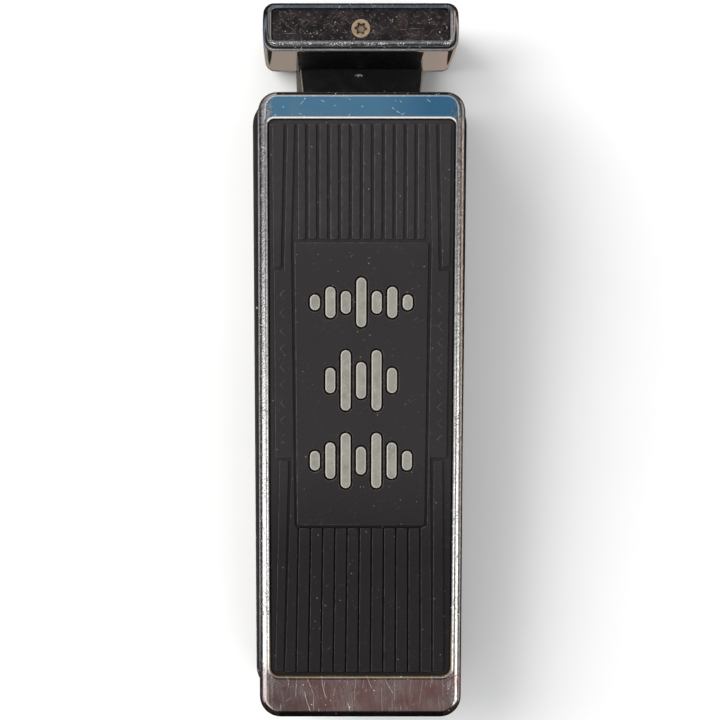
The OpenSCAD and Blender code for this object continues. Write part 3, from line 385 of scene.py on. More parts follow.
def plastic(name, colour, rough=0.45):
    """Moulded plastic or lacquer with a fine texture and slight colour drift."""
    p = Paint(name)
    grain = p.noise(0.5, 3)
    body = p.coats(
        colour,
        (p.times(p.span(p.noise(7, 3), 0.35, 0.7), 0.6), shade(colour, 1.35, 0.015)),
        (p.times(p.scratches(5, 0.1, 0.5, 0.52), 0.25), shade(colour, 0.5, 0.25)))
    p.bump(grain, 0.02)
    return p.finish(Base_Color=body, Roughness=p.span(grain, 0.3, 0.7, rough - 0.08, rough + 0.1))


def board_green(name):
    """Solder mask with paler copper tracks under it and a fibre weave."""
    p = Paint(name)
    x, y, _ = p.axes()
    weave = p.times(p.maths("SINE", p.times(x, 9)), p.maths("SINE", p.times(y, 9)))
    track = p.span(p.noise(vector=p.stretched(9, 2.2, 9), detail=0), 0.52, 0.54)
    body = p.mix(track, (0.02, 0.1, 0.035), (0.05, 0.22, 0.08))
    p.bump(track, 0.03)
    p.bump(weave, 0.006)
    return p.finish(Base_Color=body, Roughness=p.span(p.noise(4, 3), 0.3, 0.7, 0.28, 0.45))


# ---------------------------------------------------------------- mesh tools

CORNER = 8


def outline(half_heel, half_toe, heel, toe, r_heel, r_toe, corner=CORNER, side=1):
    """A tapered rectangle with round corners, anticlockwise from the heel's left corner.
    Outlines made with the same corner and side have matching points."""
    points = []
    corners = [
        (-half_heel + r_heel, heel + r_heel, r_heel, 180), (half_heel - r_heel, heel + r_heel, r_heel, 270),
        (half_toe - r_toe, toe - r_toe, r_toe, 0), (-half_toe + r_toe, toe - r_toe, r_toe, 90),
    ]
    for k, (x, y, r, start) in enumerate(corners):
        for i in range(corner + 1):
            a = math.radians(start + 90 * i / corner)
            points.append((x + r * math.cos(a), y + r * math.sin(a)))
        if k in (1, 3):
            nx, ny, nr, nstart = corners[(k + 1) % 4]
            a = math.radians(nstart)
            end = (nx + nr * math.cos(a), ny + nr * math.sin(a))
            begin = points[-1]
            for i in range(1, side):
                t = i / side
                points.append((begin[0] + (end[0] - begin[0]) * t, begin[1] + (end[1] - begin[1]) * t))
    return points


def capsule(x, y, width, length, steps=10):
    """A bar with round ends, along Y, anticlockwise."""
    r, half = width / 2, max(length / 2 - width / 2, 0.001)
    points = []
    for sign, start in ((-1, 180), (1, 0)):
        for i in range(steps + 1):
            a = math.radians(start + 180 * i / steps)
            points.append((x + r * math.cos(a), y + sign * half + r * math.sin(a)))
    return points


def circle(x, y, r, n):
    return [(x + r * math.cos(2 * math.pi * i / n), y + r * math.sin(2 * math.pi * i / n)) for i in range(n)]


def block(x0, x1, y0, y1):
    return [(x0, y0), (x1, y0), (x1, y1), (x0, y1)]


def quarter(steps, first=0):
    """A quarter circle in steps, as how far it falls short of its end across and up."""
    for i in range(first, steps + 1):
        a = math.pi / 2 * i / steps
        yield 1 - math.cos(a), 1 - math.sin(a)


def link(thing):
    bpy.context.scene.collection.objects.link(thing)
    return thing


def shade_smooth(mesh, angle=35):
    mesh.shade_smooth()
    mesh.set_sharp_from_angle(angle=math.radians(angle))


def grown(loop, d):
    """The loop moved outward by d, with mitred corners. The loop is anticlockwise."""
    n, out = len(loop), []
    for i in range(n):
        a, b, c = Vector(loop[i - 1]), Vector(loop[i]), Vector(loop[(i + 1) % n])
        u, v = (b - a).normalized(), (c - b).normalized()
        n1, n2 = Vector((u.y, -u.x)), Vector((v.y, -v.x))
        m = n1 + n2
        out.append(tuple(b + m * (d / max(0.25, 1 + n1.dot(n2)))))
    return out


class Skin:
    """Collects rings of points, in millimetres, and the faces between them."""

    def __init__(self):
        self.points, self.faces = [], []
        # Marks for the paints: edges, painted shade with dirt, wear, and painted highlight
        self.marks = {"edge": [], "dirt": [], "worn": [], "shine": []}

    def ring(self, loop, z, **marks):
        """Adds a loop of 2D points at height z. z and each mark are numbers or functions of x and y."""
        first = len(self.points)
        for x, y in loop:
            self.point((x, y, z(x, y) if callable(z) else z), **marks)
        return list(range(first, len(self.points)))

    def point(self, at, **marks):
        self.points.append(at)
        for key, values in self.marks.items():
            value = marks.get(key, 0.0)
            values.append(value(at[0], at[1]) if callable(value) else value)

    def bridge(self, *rings):
        for a, b in zip(rings, rings[1:]):
            n = len(a)
            for i in range(n):
                j = (i + 1) % n
                self.faces.append((a[i], a[j], b[j], b[i]))

    def cap(self, ring):
        self.faces.append(tuple(ring))

    def closed(self, rings):
        """Faces between the rings, and over the first and the last one."""
        self.bridge(*rings)
        self.cap(rings[0])
        self.cap(rings[-1])

    def strips(self, ring, corner=CORNER):
        """Closes an outline ring with faces that run straight across from left to right."""
        n = len(ring)
        # Both run from the middle of the heel edge to the toe: right forwards, left backwards
        right = [ring[(corner + 1 + i) % n] for i in range(n // 2)]
        left = [ring[(corner - i) % n] for i in range(n // 2)]
        for i in range(n // 2 - 1):
            self.faces.append((left[i], right[i], right[i + 1], left[i + 1]))

    def fill(self, outer, holes):
        """Closes a flat ring that has holes in it."""
        points, index, edges, shells = [], [], [], []
        for ring in [outer] + holes:
            n, first = len(ring), len(points)
            shells.append([Vector(self.points[i][:2]) for i in ring])
            points += shells[-1]
            index += ring
            edges += [(first + i, first + (i + 1) % n) for i in range(n)]
        _, _, faces, orig, _, _ = delaunay_2d_cdt(points, edges, [], 0, 1e-6)
        for face in faces:
            at = sum((points[orig[i][0]] for i in face), Vector((0, 0))) / len(face)
            if inside(at, shells[0]) and not any(inside(at, s) for s in shells[1:]):
                self.faces.append(tuple(index[orig[i][0]] for i in face))

    def island(self, loop, low, high, edge_r=0.3, steps=3, draft=0.1, holes=(), dirt=0):
        """A raised block with a rounded top edge on loop, from low to high. holes are rings already at its top."""
        rings = [self.ring(grown(loop, draft), low, dirt=dirt)]
        middle = sum(x for x, _ in loop) / len(loop)
        for over, down in quarter(steps):
            # Painted highlight on the edge: strongest half-way round it, nil at its ends, and fullest on the left
            # side, which faces the light
            edge_highlight = 2 * (1 - over) * (1 - down)
            rings.append(self.ring(grown(loop, -edge_r * over), high - edge_r * down,
                                   edge=lambda x, y, k=edge_highlight: k * (1 if x < middle else 0.3)))
        self.bridge(*rings)
        if holes:
            self.fill(rings[-1], list(holes))
        else:
            self.cap(rings[-1])
        return rings[0]

    def prism(self, loop, low, high, chamfer=0.3, holes=(), edge=0):
        """A closed block with chamfered edges and straight holes."""
        def side(shape, sign):
            small = grown(shape, -sign * chamfer)
            return [self.ring(plan, z, edge=edge) for plan, z in (
                (small, low), (shape, low + chamfer), (shape, high - chamfer), (small, high))]
        outer = side(loop, 1)
        inner = [side(hole, -1) for hole in holes]
        for rings in [outer] + inner:
            self.bridge(*rings)
        for end in (0, 3):
            self.fill(outer[end], [rings[end] for rings in inner])

    def mesh(self, name, place=None):
        """The mesh in metres, with its marks, and its normals outward."""
        mesh = bpy.data.meshes.new(name)
        mesh.from_pydata([Vector(p) * MM for p in self.points], [], self.faces)
        if place is not None:
            mesh.transform(place)
        for key, values in self.marks.items():
            if any(values):
                mesh.attributes.new(key, "FLOAT", "POINT").data.foreach_set("value", values)
        bm = bmesh.new()
        bm.from_mesh(mesh)
        bmesh.ops.recalc_face_normals(bm, faces=bm.faces)
        bm.to_mesh(mesh)
        bm.free()
        return mesh

    def build(self, name, material, body, replaces=(), place=None, smooth=35):
        """Makes a piece that rides on a body."""
        mesh = self.mesh(name, place)
        shade_smooth(mesh, smooth)
        mesh.materials.append(material)
        piece = link(bpy.data.objects.new(name, mesh))
        piece.modifiers.new("even_shading", "WEIGHTED_NORMAL").keep_sharp = True
        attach(piece, body)
        if replaces:
            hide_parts(*replaces)
        return piece


def inside(p, shell):
    hit = False
    for i in range(len(shell)):
        a, b = shell[i - 1], shell[i]
        if (a.y > p.y) != (b.y > p.y) and p.x < (b.x - a.x) * (p.y - a.y) / (b.y - a.y) + a.x:
            hit = not hit
    return hit


# Turns a profile drawn in (y, z) and extruded up into one that runs along X
ALONG_X = Matrix(((0, 0, 1, 0), (1, 0, 0, 0), (0, 1, 0, 0), (0, 0, 0, 1)))


# ---------------------------------------------------------------- frame facts

cast_low, cast_high = box_mm("treadle_casting")
cap_low, cap_high = box_mm("nose_cap")
nose_low, nose_high = box_mm("nose_plate")
screw_low, screw_high = box_mm("nose_screw")
shaft_low, shaft_high = box_mm("pivot_shaft")
pin_low, pin_high = box_mm("rack_pin")
jack_low, jack_high = box_mm("jack_bodies")
shaft_mid, pin_mid, jack_mid = (shaft_low + shaft_high) / 2, (pin_low + pin_high) / 2, (jack_low + jack_high) / 2

SLOPE = math.radians(5.455)
TREADLE_HALF = (cast_high.x - cast_low.x) / 2
TREADLE_TOE = 93.9
TREADLE_HEEL = cast_low.y / math.cos(SLOPE)
# Height of the treadle's top face over the origin
TREADLE_MID = 53.1
ON_TREADLE = Matrix.Translation((0, 0, TREADLE_MID * MM)) @ Matrix.Rotation(SLOPE, 4, "X")
# The depths of its skirt, its top plate and the pad's recess
SKIRT, PLATE, RECESS = 8.0, 4.6, 2.2
PAD = {"half_heel": 31.8, "half_toe": 32.2, "heel": -112.2, "toe": 84.3}


def pad_outline(grow):
    return outline(PAD["half_heel"] + grow, PAD["half_toe"] + grow, PAD["heel"] - grow, PAD["toe"] + grow,
                   3.0 + grow, 1.9 + grow)


def tray_outline(inset):
    toe = TREADLE_TOE - min(inset, 2.6) * 0.55 - max(inset - 2.6, 0)
    return outline(TREADLE_HALF - inset, TREADLE_HALF - inset, TREADLE_HEEL + inset, toe, 7.5 - inset, 6.7 - inset)


# ---------------------------------------------------------------- pieces

def treadle_tray(material):
    """The chrome tray: skirt, rounded rim, flat margins, a bead round the pad's recess, and ribs below."""
    s = Skin()
    roll_w, roll_h, steps = 2.6, 1.9, 10
    gap, wall = 0.25, 2.4
    side_x, toe_y = 31, 88

    def rub(x, y):
        """The long sides are rubbed; the toe and heel margins stay smoother."""
        return (1.0 if abs(x) > side_x else 0.12) if -122 < y < toe_y + 3 else 0.0

    def at_toe(x, y):
        return 1.0 if y > 83.5 and abs(x) < 32.6 else 0.0

    def seam(share):
        return lambda x, y: share * (1 - at_toe(x, y))

    rings = [s.ring(tray_outline(0.3), -SKIRT), s.ring(tray_outline(0), -SKIRT + 0.3)]
    for i, (over, down) in enumerate(quarter(steps)):
        # The roll's last step carries a painted highlight along the toe edge
        rings.append(s.ring(tray_outline(roll_w * over), -roll_h * down, worn=rub,
                            shine=lambda x, y, k=i == steps: 0.5 * k * (y > toe_y),
                            edge=lambda x, y, k=i == steps: k * (y > -118) * (1 if x > side_x or y > toe_y else 0.3)))
    rings.append(s.ring(tray_outline(roll_w + 0.35), 0, worn=rub))
    # The bead: how far outside the recess, height, shade and dirt (painted shade down into the recess, brown dirt
    # toward the heel), and a painted highlight at the toe
    for grow, z, dirt, shine in (
            (1.2, 0.0, 0, 0), (0.9, 0.0, 0, 0.05), (0.7, 0.09, 0, 0.5), (0.5, 0.12, 0.15, 1), (0.3, 0.05, 0.7, 1),
            (0.14, -0.15, 1, 0.2), (0.0, -0.5, 1, 0), (0.0, -RECESS, 1, 0)):
        rings.append(s.ring(pad_outline(gap + grow), z, dirt=1 if z < -0.1 else seam(dirt), worn=rub,
                            shine=lambda x, y, k=shine: k * at_toe(x, y)))
    rings.append(s.ring(pad_outline(gap - 1.5), -RECESS, dirt=1))
    s.bridge(*rings)
    s.cap(rings[-1])
    under = [rings[0], s.ring(tray_outline(wall - 0.3), -SKIRT), s.ring(tray_outline(wall), -SKIRT + 0.3),
             s.ring(tray_outline(wall), -PLATE - 0.8), s.ring(tray_outline(wall + 0.8), -PLATE)]
    s.bridge(*under)
    s.cap(under[-1])
    rib = 1.6
    ribs = [block(-33.2, 33.2, y, y + rib) for y in (-92, -60, -28, 58)]
    for loop in ribs + [block(x, x + rib, -92, 58 + rib) for x in (-22 - rib, 22)]:
        s.prism(loop, -PLATE - 1.4, -PLATE + 0.1, 0.25)
    s.build("treadle_tray", material, "treadle", ["treadle_casting"], ON_TREADLE)


def arc(cx, cy, r, start, end, steps=16):
    return [(cx + r * math.cos(math.radians(start + (end - start) * i / steps)),
             cy + r * math.sin(math.radians(start + (end - start) * i / steps))) for i in range(steps + 1)]


def treadle_lugs(material):
    """The pivot lugs and the clevis ears under the tray."""
    shaft_r = (shaft_high.z - shaft_low.z) / 2
    lug = arc(0, shaft_mid.z, 6.5, 200, 340) + [(14.5, 47.6), (-14.5, 45.2)]
    ear = arc(pin_mid.y, pin_mid.z, 3.4, 180, 360) + [(pin_mid.y + 3.4, 53.0), (pin_mid.y - 3.4, 52.6)]
    s = Skin()
    for side in (-1, 1):
        for loop, hole, x0, x1 in (
                (lug, circle(0, shaft_mid.z, shaft_r + 0.02, 24), 31.6, TREADLE_HALF),
                (ear, circle(pin_mid.y, pin_mid.z, 1.52, 24), 3.2, 5.2)):
            low, high = sorted((side * x0, side * x1))
            s.prism(loop, low, high, 0.35, [hole])
    s.build("treadle_lugs", material, "treadle", (), ALONG_X)


# Rows of bars, like a level meter: middle along the treadle, then the bars' lengths
BAR_ROWS = ((21.1, (5.5, 11, 8, 17.4, 8, 11, 5.5)), (-6.3, (9, 21.4, 13, 21.4, 9)),
            (-34.7, (7, 13, 19.7, 10, 19.7, 13, 7)))
BAR_PITCH, BAR_W, BAR_GAP = 5.4, 3.55, 0.6


def bars():
    for y, lengths in BAR_ROWS:
        for i, length in enumerate(lengths):
            yield (i - (len(lengths) - 1) / 2) * BAR_PITCH, y, length


def rect(x0, x1, y0, y1, r=0.35):
    return [(x + (x0 + x1) / 2, y) for x, y in outline((x1 - x0) / 2, (x1 - x0) / 2, y0, y1, r, r, 3)]


HEEL_Y = (-110.6, -58.9)


def heel_groove_x(k, y):
    """Place across the pad of heel groove k: the grooves fan out toward the heel."""
    share = (HEEL_Y[1] - y) / (HEEL_Y[1] - HEEL_Y[0])
    return k * (4.3 + 0.12 * share) - 0.55 - 0.33 * share


def heel_ridge(k, half_groove=0.3):
    """The ridge between grooves k and k + 1."""
    return rounded_loop([(heel_groove_x(k + step, y) + (1 - 2 * step) * half_groove, y)
                         for step, y in zip((0, 1, 1, 0), (HEEL_Y[0], HEEL_Y[0], HEEL_Y[1], HEEL_Y[1]))], 0.32)


def rounded_loop(corners, r, steps=3):
    """The polygon with each corner replaced by a short arc."""
    out = []
    for i, b in enumerate(map(Vector, corners)):
        a, c = Vector(corners[i - 1]), Vector(corners[(i + 1) % len(corners)])
        start, stop = b + (a - b).normalized() * r, b + (c - b).normalized() * r
        for j in range(steps + 1):
            t = j / steps
            out.append(tuple(start * (1 - t) ** 2 + b * (2 * t * (1 - t)) + stop * t * t))
    return out


def tread_pad(material):
    """The rubber pad: ridges at both ends, a flat panel with cut-outs, and side strips with small raised marks."""
    s = Skin()
    top = 0.25
    low = top - 0.85
    bottom = -RECESS + 0.05
    outer = [s.ring(pad_outline(grow), z) for grow, z in (
        (-0.3, bottom), (0, bottom + 0.3), (0, low - 0.4), (-0.12, low - 0.12), (-0.4, low))]
    s.bridge(*outer)
    bases = []
    toe_pitch, toe_w, toe_count = 3.79, 2.62, 12
    for k in range(toe_count):
        x = (k - (toe_count - 1) / 2) * toe_pitch
        x1 = x + toe_w / 2 - (0.15 if k == toe_count - 1 else 0)
        x0 = x - toe_w / 2 + (0.15 if k == 0 else 0)
        bases.append(s.island(rect(x0, x1, 43.2, 82.9), low, top))
    for k in range(-5, 5):
        # Heel ridges: painted shade at their feet, down in the grooves
        bases.append(s.island(heel_ridge(k), low, top, edge_r=0.2, draft=0.04, dirt=0.8))
    holes = []
    # The lips round the cut-outs carry the same painted highlight on their edges
    lips = ((0.25, top, 0), (0.2, top - 0.01, 0.6), (0.1, top - 0.06, 0.9), (0, top - 0.25, 0.2), (0, bottom, 0))
    for x, y, length in bars():
        lip = [s.ring(capsule(x, y, BAR_W + 2 * (BAR_GAP + grow), length + 2 * (BAR_GAP + grow)), z, edge=e)
               for grow, z, e in lips]
        s.bridge(*lip)
        holes.append(lip)
    panel = outline(22.5, 23.3, -57.7, 42.0, 0.6, 0.6, 3)
    bases.append(s.island(panel, low, top, holes=[h[0] for h in holes]))
    for side in (-1, 1):
        def line(y, side=side):
            return side * heel_groove_x(side * 5, y) + 0.3

        loop_low, loop_high = (25.1, 24.3) if side > 0 else (26.8, 24.4)
        # The land beside the panel: a ridge at the toe, a wide strip, and a ridge at the heel
        strip = [(line(HEEL_Y[0]), HEEL_Y[0]), (loop_low, HEEL_Y[0]), (loop_high, -33.5), (30.1, -33.5),
                 (30.45, 32.2), (26.9, 32.2), (25.7, 82.9), (23.3, 82.9), (24.5, 41.0), (23.4, -57.8),
                 (line(HEEL_Y[1]), HEEL_Y[1])]
        toe_ridge = [(28.1, 33.6), (30.65, 33.6), (30.9, 82.9), (26.95, 82.9)]
        heel_end = (25.8, 29.5) if side > 0 else (27.5, 30.3)
        ridge = [(heel_end[0], -110.2), (heel_end[1], -110.2), (28.65, -34.7), (25.6, -34.7)]
        for loop in (strip, toe_ridge, ridge):
            if side < 0:
                loop = [(-x, y) for x, y in reversed(loop)]
            bases.append(s.island(rounded_loop(loop, 0.3), low, top, edge_r=0.2, draft=0.05))
    s.fill(outer[-1], bases)
    under = s.ring(pad_outline(-1.2), bottom)
    s.bridge(outer[0], under)
    s.fill(under, [h[-1] for h in holes])
    # Small raised chevrons that point from the input side to the output side
    w, h, t = 1.1, 1.7, 0.5
    for side, count in ((-1, 9), (1, 10)):
        for i in range(count):
            x, y = side * 27.6, 27.0 - (i + 0.5) * 57.0 / count
            loop = [(x + w, y - h), (x + w - t, y - h), (x - w, y),
                    (x + w - t, y + h), (x + w, y + h), (x - w + t * 1.3, y)]
            s.prism(anticlockwise(loop), top - 0.1, top + 0.09, 0.06, edge=0.4)
    s.build("tread_pad_rubber", material, "treadle", ["tread_pad"], ON_TREADLE, 30)


def anticlockwise(loop):
    area = sum(a[0] * b[1] - b[0] * a[1] for a, b in zip(loop, loop[1:] + loop[:1]))
    return loop if area > 0 else loop[::-1]


def inlay_bars(material):
    """Satin metal bars that fill the pad's cut-outs."""
    s = Skin()
    high = 0.18
    # How far in from the outline, height, shade and dirt down the sides, and a painted highlight on the top edge
    profile = ((0.15, -RECESS + 0.02, 1, 0), (0, -RECESS + 0.2, 1, 0), (0, high - 0.6, 1, 0),
               (0.02, high - 0.3, 1, 0), (0.08, high - 0.1, 0.4, 0.9), (0.24, high, 0, 0.9), (0.55, high, 0, 0))
    for x, y, length in bars():
        s.closed([s.ring(capsule(x, y, BAR_W - 2 * inset, length - 2 * inset), z, dirt=dirt, edge=edge)
                  for inset, z, dirt, edge in profile])
    s.build("inlay_bars", material, "treadle", ["emblem_inlays"], ON_TREADLE)


def head_outline(inset, lower=0.0):
    """The head's plan: its short sides bulge a little. lower widens it toward the floor."""
    half = (cap_high.x - cap_low.x) / 2 + 0.05 + lower - inset
    heel, toe = cap_low.y + inset, cap_high.y - inset
    r = max(3.4 - inset * 0.5, 0.6)
    points = outline(half, half, heel, toe, r, r, side=8)
    mid, reach = (heel + toe) / 2, (toe - heel) / 2
    return [(x * (1 - 0.019 * ((y - mid) / reach) ** 2), y) for x, y in points]


def nose_cap(material):
    """The chrome cap of the head: a rolled top rim round the plate's opening, and thin walls below."""
    s = Skin()
    top, bottom = cap_high.z, cap_low.z
    rim_x = nose_high.x + 0.1
    heel, toe = nose_low.y - 0.1, nose_high.y + 0.1
    mid_y = (cap_low.y + cap_high.y) / 2

    def opening(grow):
        return outline(rim_x + grow, rim_x + grow, heel - grow, toe + grow, 1.2 + grow, 1.2 + grow, side=8)

    def rub(x, y):
        return 0.8 if y < heel + 1 else 0.35

    # Edge marks on the heel-side bead, whose bright specks are a painted highlight
    def lower_bead(share):
        return lambda x, y: share * (y < heel + 0.3)

    # The foot of the walls is black with painted shade along the floor
    rings = [s.ring(head_outline(inset, lower), z, dirt=dirt) for inset, lower, z, dirt in (
        (0.5, 0.6, bottom, 1), (0, 0.6, bottom + 0.5, 1), (0, 0.58, bottom + 2.4, 1), (0, 0.58, bottom + 2.9, 0),
        (0, 0.45, bottom + 22, 0), (0, 0, top - 5.2, 0), (0, 0, top - 2.4, 0))]
    # A thin step, a black seam of painted shadow under the rim, then the rolled rim; the toe side has the roll alone
    for inset, drop, dirt in (
            (0.08, 1.95, 0.9), (0.3, 1.66, 0.4), (0.5, 1.6, 0), (0.68, 1.66, 0.4), (0.8, 1.8, 1), (1.05, 1.9, 1),
            (1.36, 1.6, 1), (1.42, 1.2, 1), (1.5, 0.8, 0.5), (1.65, 0.42, 0), (1.9, 0.14, 0), (2.2, 0.02, 0)):
        plain = 2.3 * (1 - min(inset, 2.2) / 2.2) ** 2

        def height(x, y, drop=drop, plain=plain):
            share = min(max((mid_y + 5 - y) / 10, 0), 1)
            share = share * share * (3 - 2 * share)
            return top - drop * share - plain * (1 - share)

        rings.append(s.ring(head_outline(inset), height, worn=rub,
                            dirt=lambda x, y, k=dirt: k * min(max((mid_y + 4 - y) / 6, 0), 1),
                            edge=lower_bead(1 if drop < 0.5 else 0.5 if inset == 0.5 else 0)))
    # Down into the opening: painted shadow, full on its toe side
    for grow, drop, dirt in ((0.8, 0, 0), (0.4, 0.12, 0.1), (0.15, 0.36, 0.5), (0, 0.8, 1), (0, 4, 1)):
        rings.append(s.ring(opening(grow), top - drop, worn=rub, edge=lower_bead(grow > 0.5),
                            dirt=lambda x, y, k=dirt: 1 if y > toe and k > 0 else k))
    wall = 1.9
    rings += [s.ring(opening(-2), top - 4), s.ring(opening(-2), top - 6),
              s.ring(head_outline(wall), top - 6), s.ring(head_outline(wall, 0.6), bottom)]
    s.bridge(*rings, rings[0])
    cap = s.build("nose_cap_shell", material, "base", ["nose_cap"], None)
    # The neck's wall stands in this notch, between the two wings
    notch = Skin()
    notch.prism(block(-22.4, 22.4, cap_low.y - 3, cap_low.y + 2.4), bottom - 2, top - 3.9, 0.01)
    apply_boolean(cap, notch)
    bevel = cap.modifiers.new("soft_edges", "BEVEL")
    bevel.width, bevel.segments = 0.45 * MM, 3
    bevel.limit_method, bevel.angle_limit = "ANGLE", math.radians(50)


def apply_boolean(piece, cutter, operation="DIFFERENCE"):
    """Cuts a skin out of a piece, or adds it, with the exact boolean."""
    tool = link(bpy.data.objects.new("cutter", cutter.mesh("cutter")))
    mod = piece.modifiers.new("cut", "BOOLEAN")
    mod.operation, mod.object, mod.solver = operation, tool, "EXACT"
    bpy.context.view_layer.update()
    done = bpy.data.meshes.new_from_object(piece.evaluated_get(bpy.context.evaluated_depsgraph_get()))
    done.name = piece.name
    piece.modifiers.clear()
    piece.data = done
    bpy.data.objects.remove(tool)
    shade_smooth(done)


def nose_plate(material):
    """The black plate set into the head, with a countersink for its screw."""
    s = Skin()
    low, high = nose_low.z, nose_high.z
    loop = outline(nose_high.x, nose_high.x, nose_low.y, nose_high.y, 1.1, 1.1, 6)
    y, r = (screw_low.y + screw_high.y) / 2, (screw_high.x - screw_low.x) / 2
    outer = [s.ring(loop, low), s.ring(loop, high - 0.3), s.ring(grown(loop, -0.1), high - 0.08),
             s.ring(grown(loop, -0.35), high)]
    hole = [s.ring(circle(0, y, r + grow, 48), z) for grow, z in (
        (0.25, high), (0.08, high - 0.1), (-1.5, high - 1.9), (-1.5, low))]
    s.bridge(*outer)
    s.bridge(*hole)
    s.fill(outer[-1], [hole[0]])
    s.fill(outer[0], [hole[-1]])
    s.build("nose_plate_black", material, "base", ["nose_plate"])


def nose_screw(material):
    """The countersunk screw with its six-lobed recess."""
    s = Skin()
    n, top = 72, screw_high.z
    mid, head = (screw_low.y + screw_high.y) / 2, (screw_high.x - screw_low.x) / 2

    def lobed(r, lobes):
        turns = [2 * math.pi * i / n for i in range(n)]
        reach = [r * (1 + lobes * math.cos(6 * a + 0.5)) for a in turns]
        return [(far * math.cos(a), mid + far * math.sin(a)) for a, far in zip(turns, reach)]

    # Radius, how far below the top, painted shade (a dark ring round the head and a dark recess), and how lobed
    s.closed([s.ring(lobed(r, lobes), top - drop, dirt=dirt) for r, drop, dirt, lobes in (
        (1.5, top - screw_low.z, 0, 0), (1.5, 1.9, 0, 0), (head - 0.12, 0.35, 1, 0), (head, 0.18, 1, 0),
        (head - 0.1, 0.04, 0.3, 0), (head - 0.3, 0, 0, 0), (head - 0.85, 0.02, 0, 0), (1.9, 0.05, 0.3, 0.2),
        (1.82, 0.3, 1, 0.2), (1.6, 1.1, 1, 0.2), (1.15, 1.2, 0.8, 0.2), (0.8, 1.25, 0.3, 0.2))])
    s.build("nose_screw_brass", material, "base", ["nose_screw"])


# ---- the cast base

FLOOR_Z = 5.0
SIDE_STEPS = 48
# The hump's ridge: its height, and the slope of its roof toward the toe and the heel
RIDGE_Z, ROOF_TOE, ROOF_HEEL = 44.0, 7.6 / 80, 29 / 108


def ledge_z(y):
    return 12 + 24 * (y + 124) / 220


def roof_z(y):
    """The hump's top: a gable with a softly rounded ridge."""
    reach, soft = 12.0, 5.0
    slope = ROOF_TOE if y > 0 else ROOF_HEEL
    if abs(y) <= reach - soft:
        return RIDGE_Z
    if abs(y) >= reach + soft:
        return RIDGE_Z - slope * (abs(y) - reach)
    t = (abs(y) - reach + soft) / (2 * soft)
    return RIDGE_Z - slope * soft * t * t


def hull_outline(inset):
    r = 10 - inset
    return outline(38.2 - inset, 38.8 - inset, -124.0 + inset, 96.0 - inset, r, r, CORNER, SIDE_STEPS)


def hump_outline(inset):
    half, r = 30.5 - inset, 5 - inset * 0.6
    return outline(half, half, -120.0 + inset, 92.0 - inset, r, r, CORNER, SIDE_STEPS)


def base_shell(material):
    """The cast base: a hollow hull with a rounded ledge and a gabled hump, open for the footswitch and the rack."""
    s = Skin()
    outer_r, fillet, top_r, steps, wall = 3.2, 1.6, 2.6, 6, 3.0

    def soft(y):
        return min(3.0, 0.45 * max(roof_z(y) - ledge_z(y), 0.5))

    rings = [s.ring(hull_outline(0.4), FLOOR_Z), s.ring(hull_outline(0), FLOOR_Z + 0.4)]
    for over, down in quarter(steps):
        rings.append(s.ring(hull_outline(outer_r * over), lambda x, y, d=down: ledge_z(y) - outer_r * d))
    rings.append(s.ring(hump_outline(-fillet), lambda x, y: ledge_z(y)))
    for over, down in quarter(3, 1):
        rings.append(s.ring(hump_outline(-fillet * down), lambda x, y, u=over: ledge_z(y) + soft(y) * 0.6 * u))
    for over, down in quarter(steps):
        rings.append(s.ring(hump_outline(0.3 + top_r * over), lambda x, y, d=down: roof_z(y) - soft(y) * d))
    s.bridge(*rings)
    s.strips(rings[-1])
    inner = [s.ring(hull_outline(wall), FLOOR_Z), s.ring(hull_outline(wall), lambda x, y: ledge_z(y) - wall),
             s.ring(hump_outline(wall), lambda x, y: ledge_z(y) - wall),
             s.ring(hump_outline(wall), lambda x, y: max(roof_z(y) - wall, ledge_z(y) - wall + 0.05))]
    s.bridge(rings[0], *inner)
    s.strips(inner[-1])
    piece = s.build("base_shell", material, "base", ["base_housing"], None, 40)
    cup, hollow, pads, bores = Skin(), Skin(), Skin(), Skin()
    cup.prism(block(-16, 16, 59, 89), 24, 35.5, 0.3)
    hollow.prism(block(-13, 13, 62, 86), 27, 60, 0.3)
    hollow.prism(rect(-8, 8, 34, 50.5, 1.5), 30, 60, 0.2)
    hollow.prism(circle(0, 74, 6.02, 36), 20, 40, 0.05)
    for side in (-1, 1):
        add_rod(pads, jack_mid, 11, side * 32.3, side * 37.4)
        add_rod(bores, jack_mid, 9, side * 35.3, side * 60)
        add_rod(bores, jack_mid, 4.77, side * 28, side * 60)
        add_rod(bores, shaft_mid, 4.52, side * 20, side * 34)
    for skin, operation in ((cup, "UNION"), (hollow, "DIFFERENCE"), (pads, "UNION"), (bores, "DIFFERENCE")):
        apply_boolean(piece, skin, operation)


def add_rod(skin, middle, r, x0, x1, n=40):
    """A rod along X."""
    rings = []
    for x in sorted((x0, x1)):
        rings.append(list(range(len(skin.points), len(skin.points) + n)))
        for y, z in circle(middle.y, middle.z, r, n):
            skin.point((x, y, z))
    skin.closed(rings)


def neck_and_core(material):
    """The low neck, the wall behind the head, and the block that the chrome cap sits on."""
    s = Skin()
    heel, toe, neck_z, start = cap_low.y, cap_high.y, 9, 93.5
    left, right = (-20.3, -22.2), (23.0, 24.6)
    s.prism([(left[0], start), (right[0], start), (right[1], heel + 2), (left[1], heel + 2)], FLOOR_Z, neck_z, 0.5)
    # Thin strips along its top edges carry a painted highlight
    for side, (x0, x1) in ((-1, left), (1, right)):
        far, near = side * 0.55, side * 0.05
        bar = [(x0 - far, start), (x0 - near, start), (x1 - near, heel + 2), (x1 - far, heel + 2)]
        s.prism(anticlockwise(bar), neck_z - 0.4, neck_z + 0.06, 0.05, edge=1.0)
    s.prism(block(-22.3, 22.3, heel + 0.15, heel + 3.4), FLOOR_Z, cap_high.z - 4.0, 0.4)
    s.prism(block(-31.8, 31.8, heel + 2.3, toe - 2.3), FLOOR_Z + 0.01, cap_high.z - 6.05, 0.3)
    s.build("neck_and_core", material, "base")


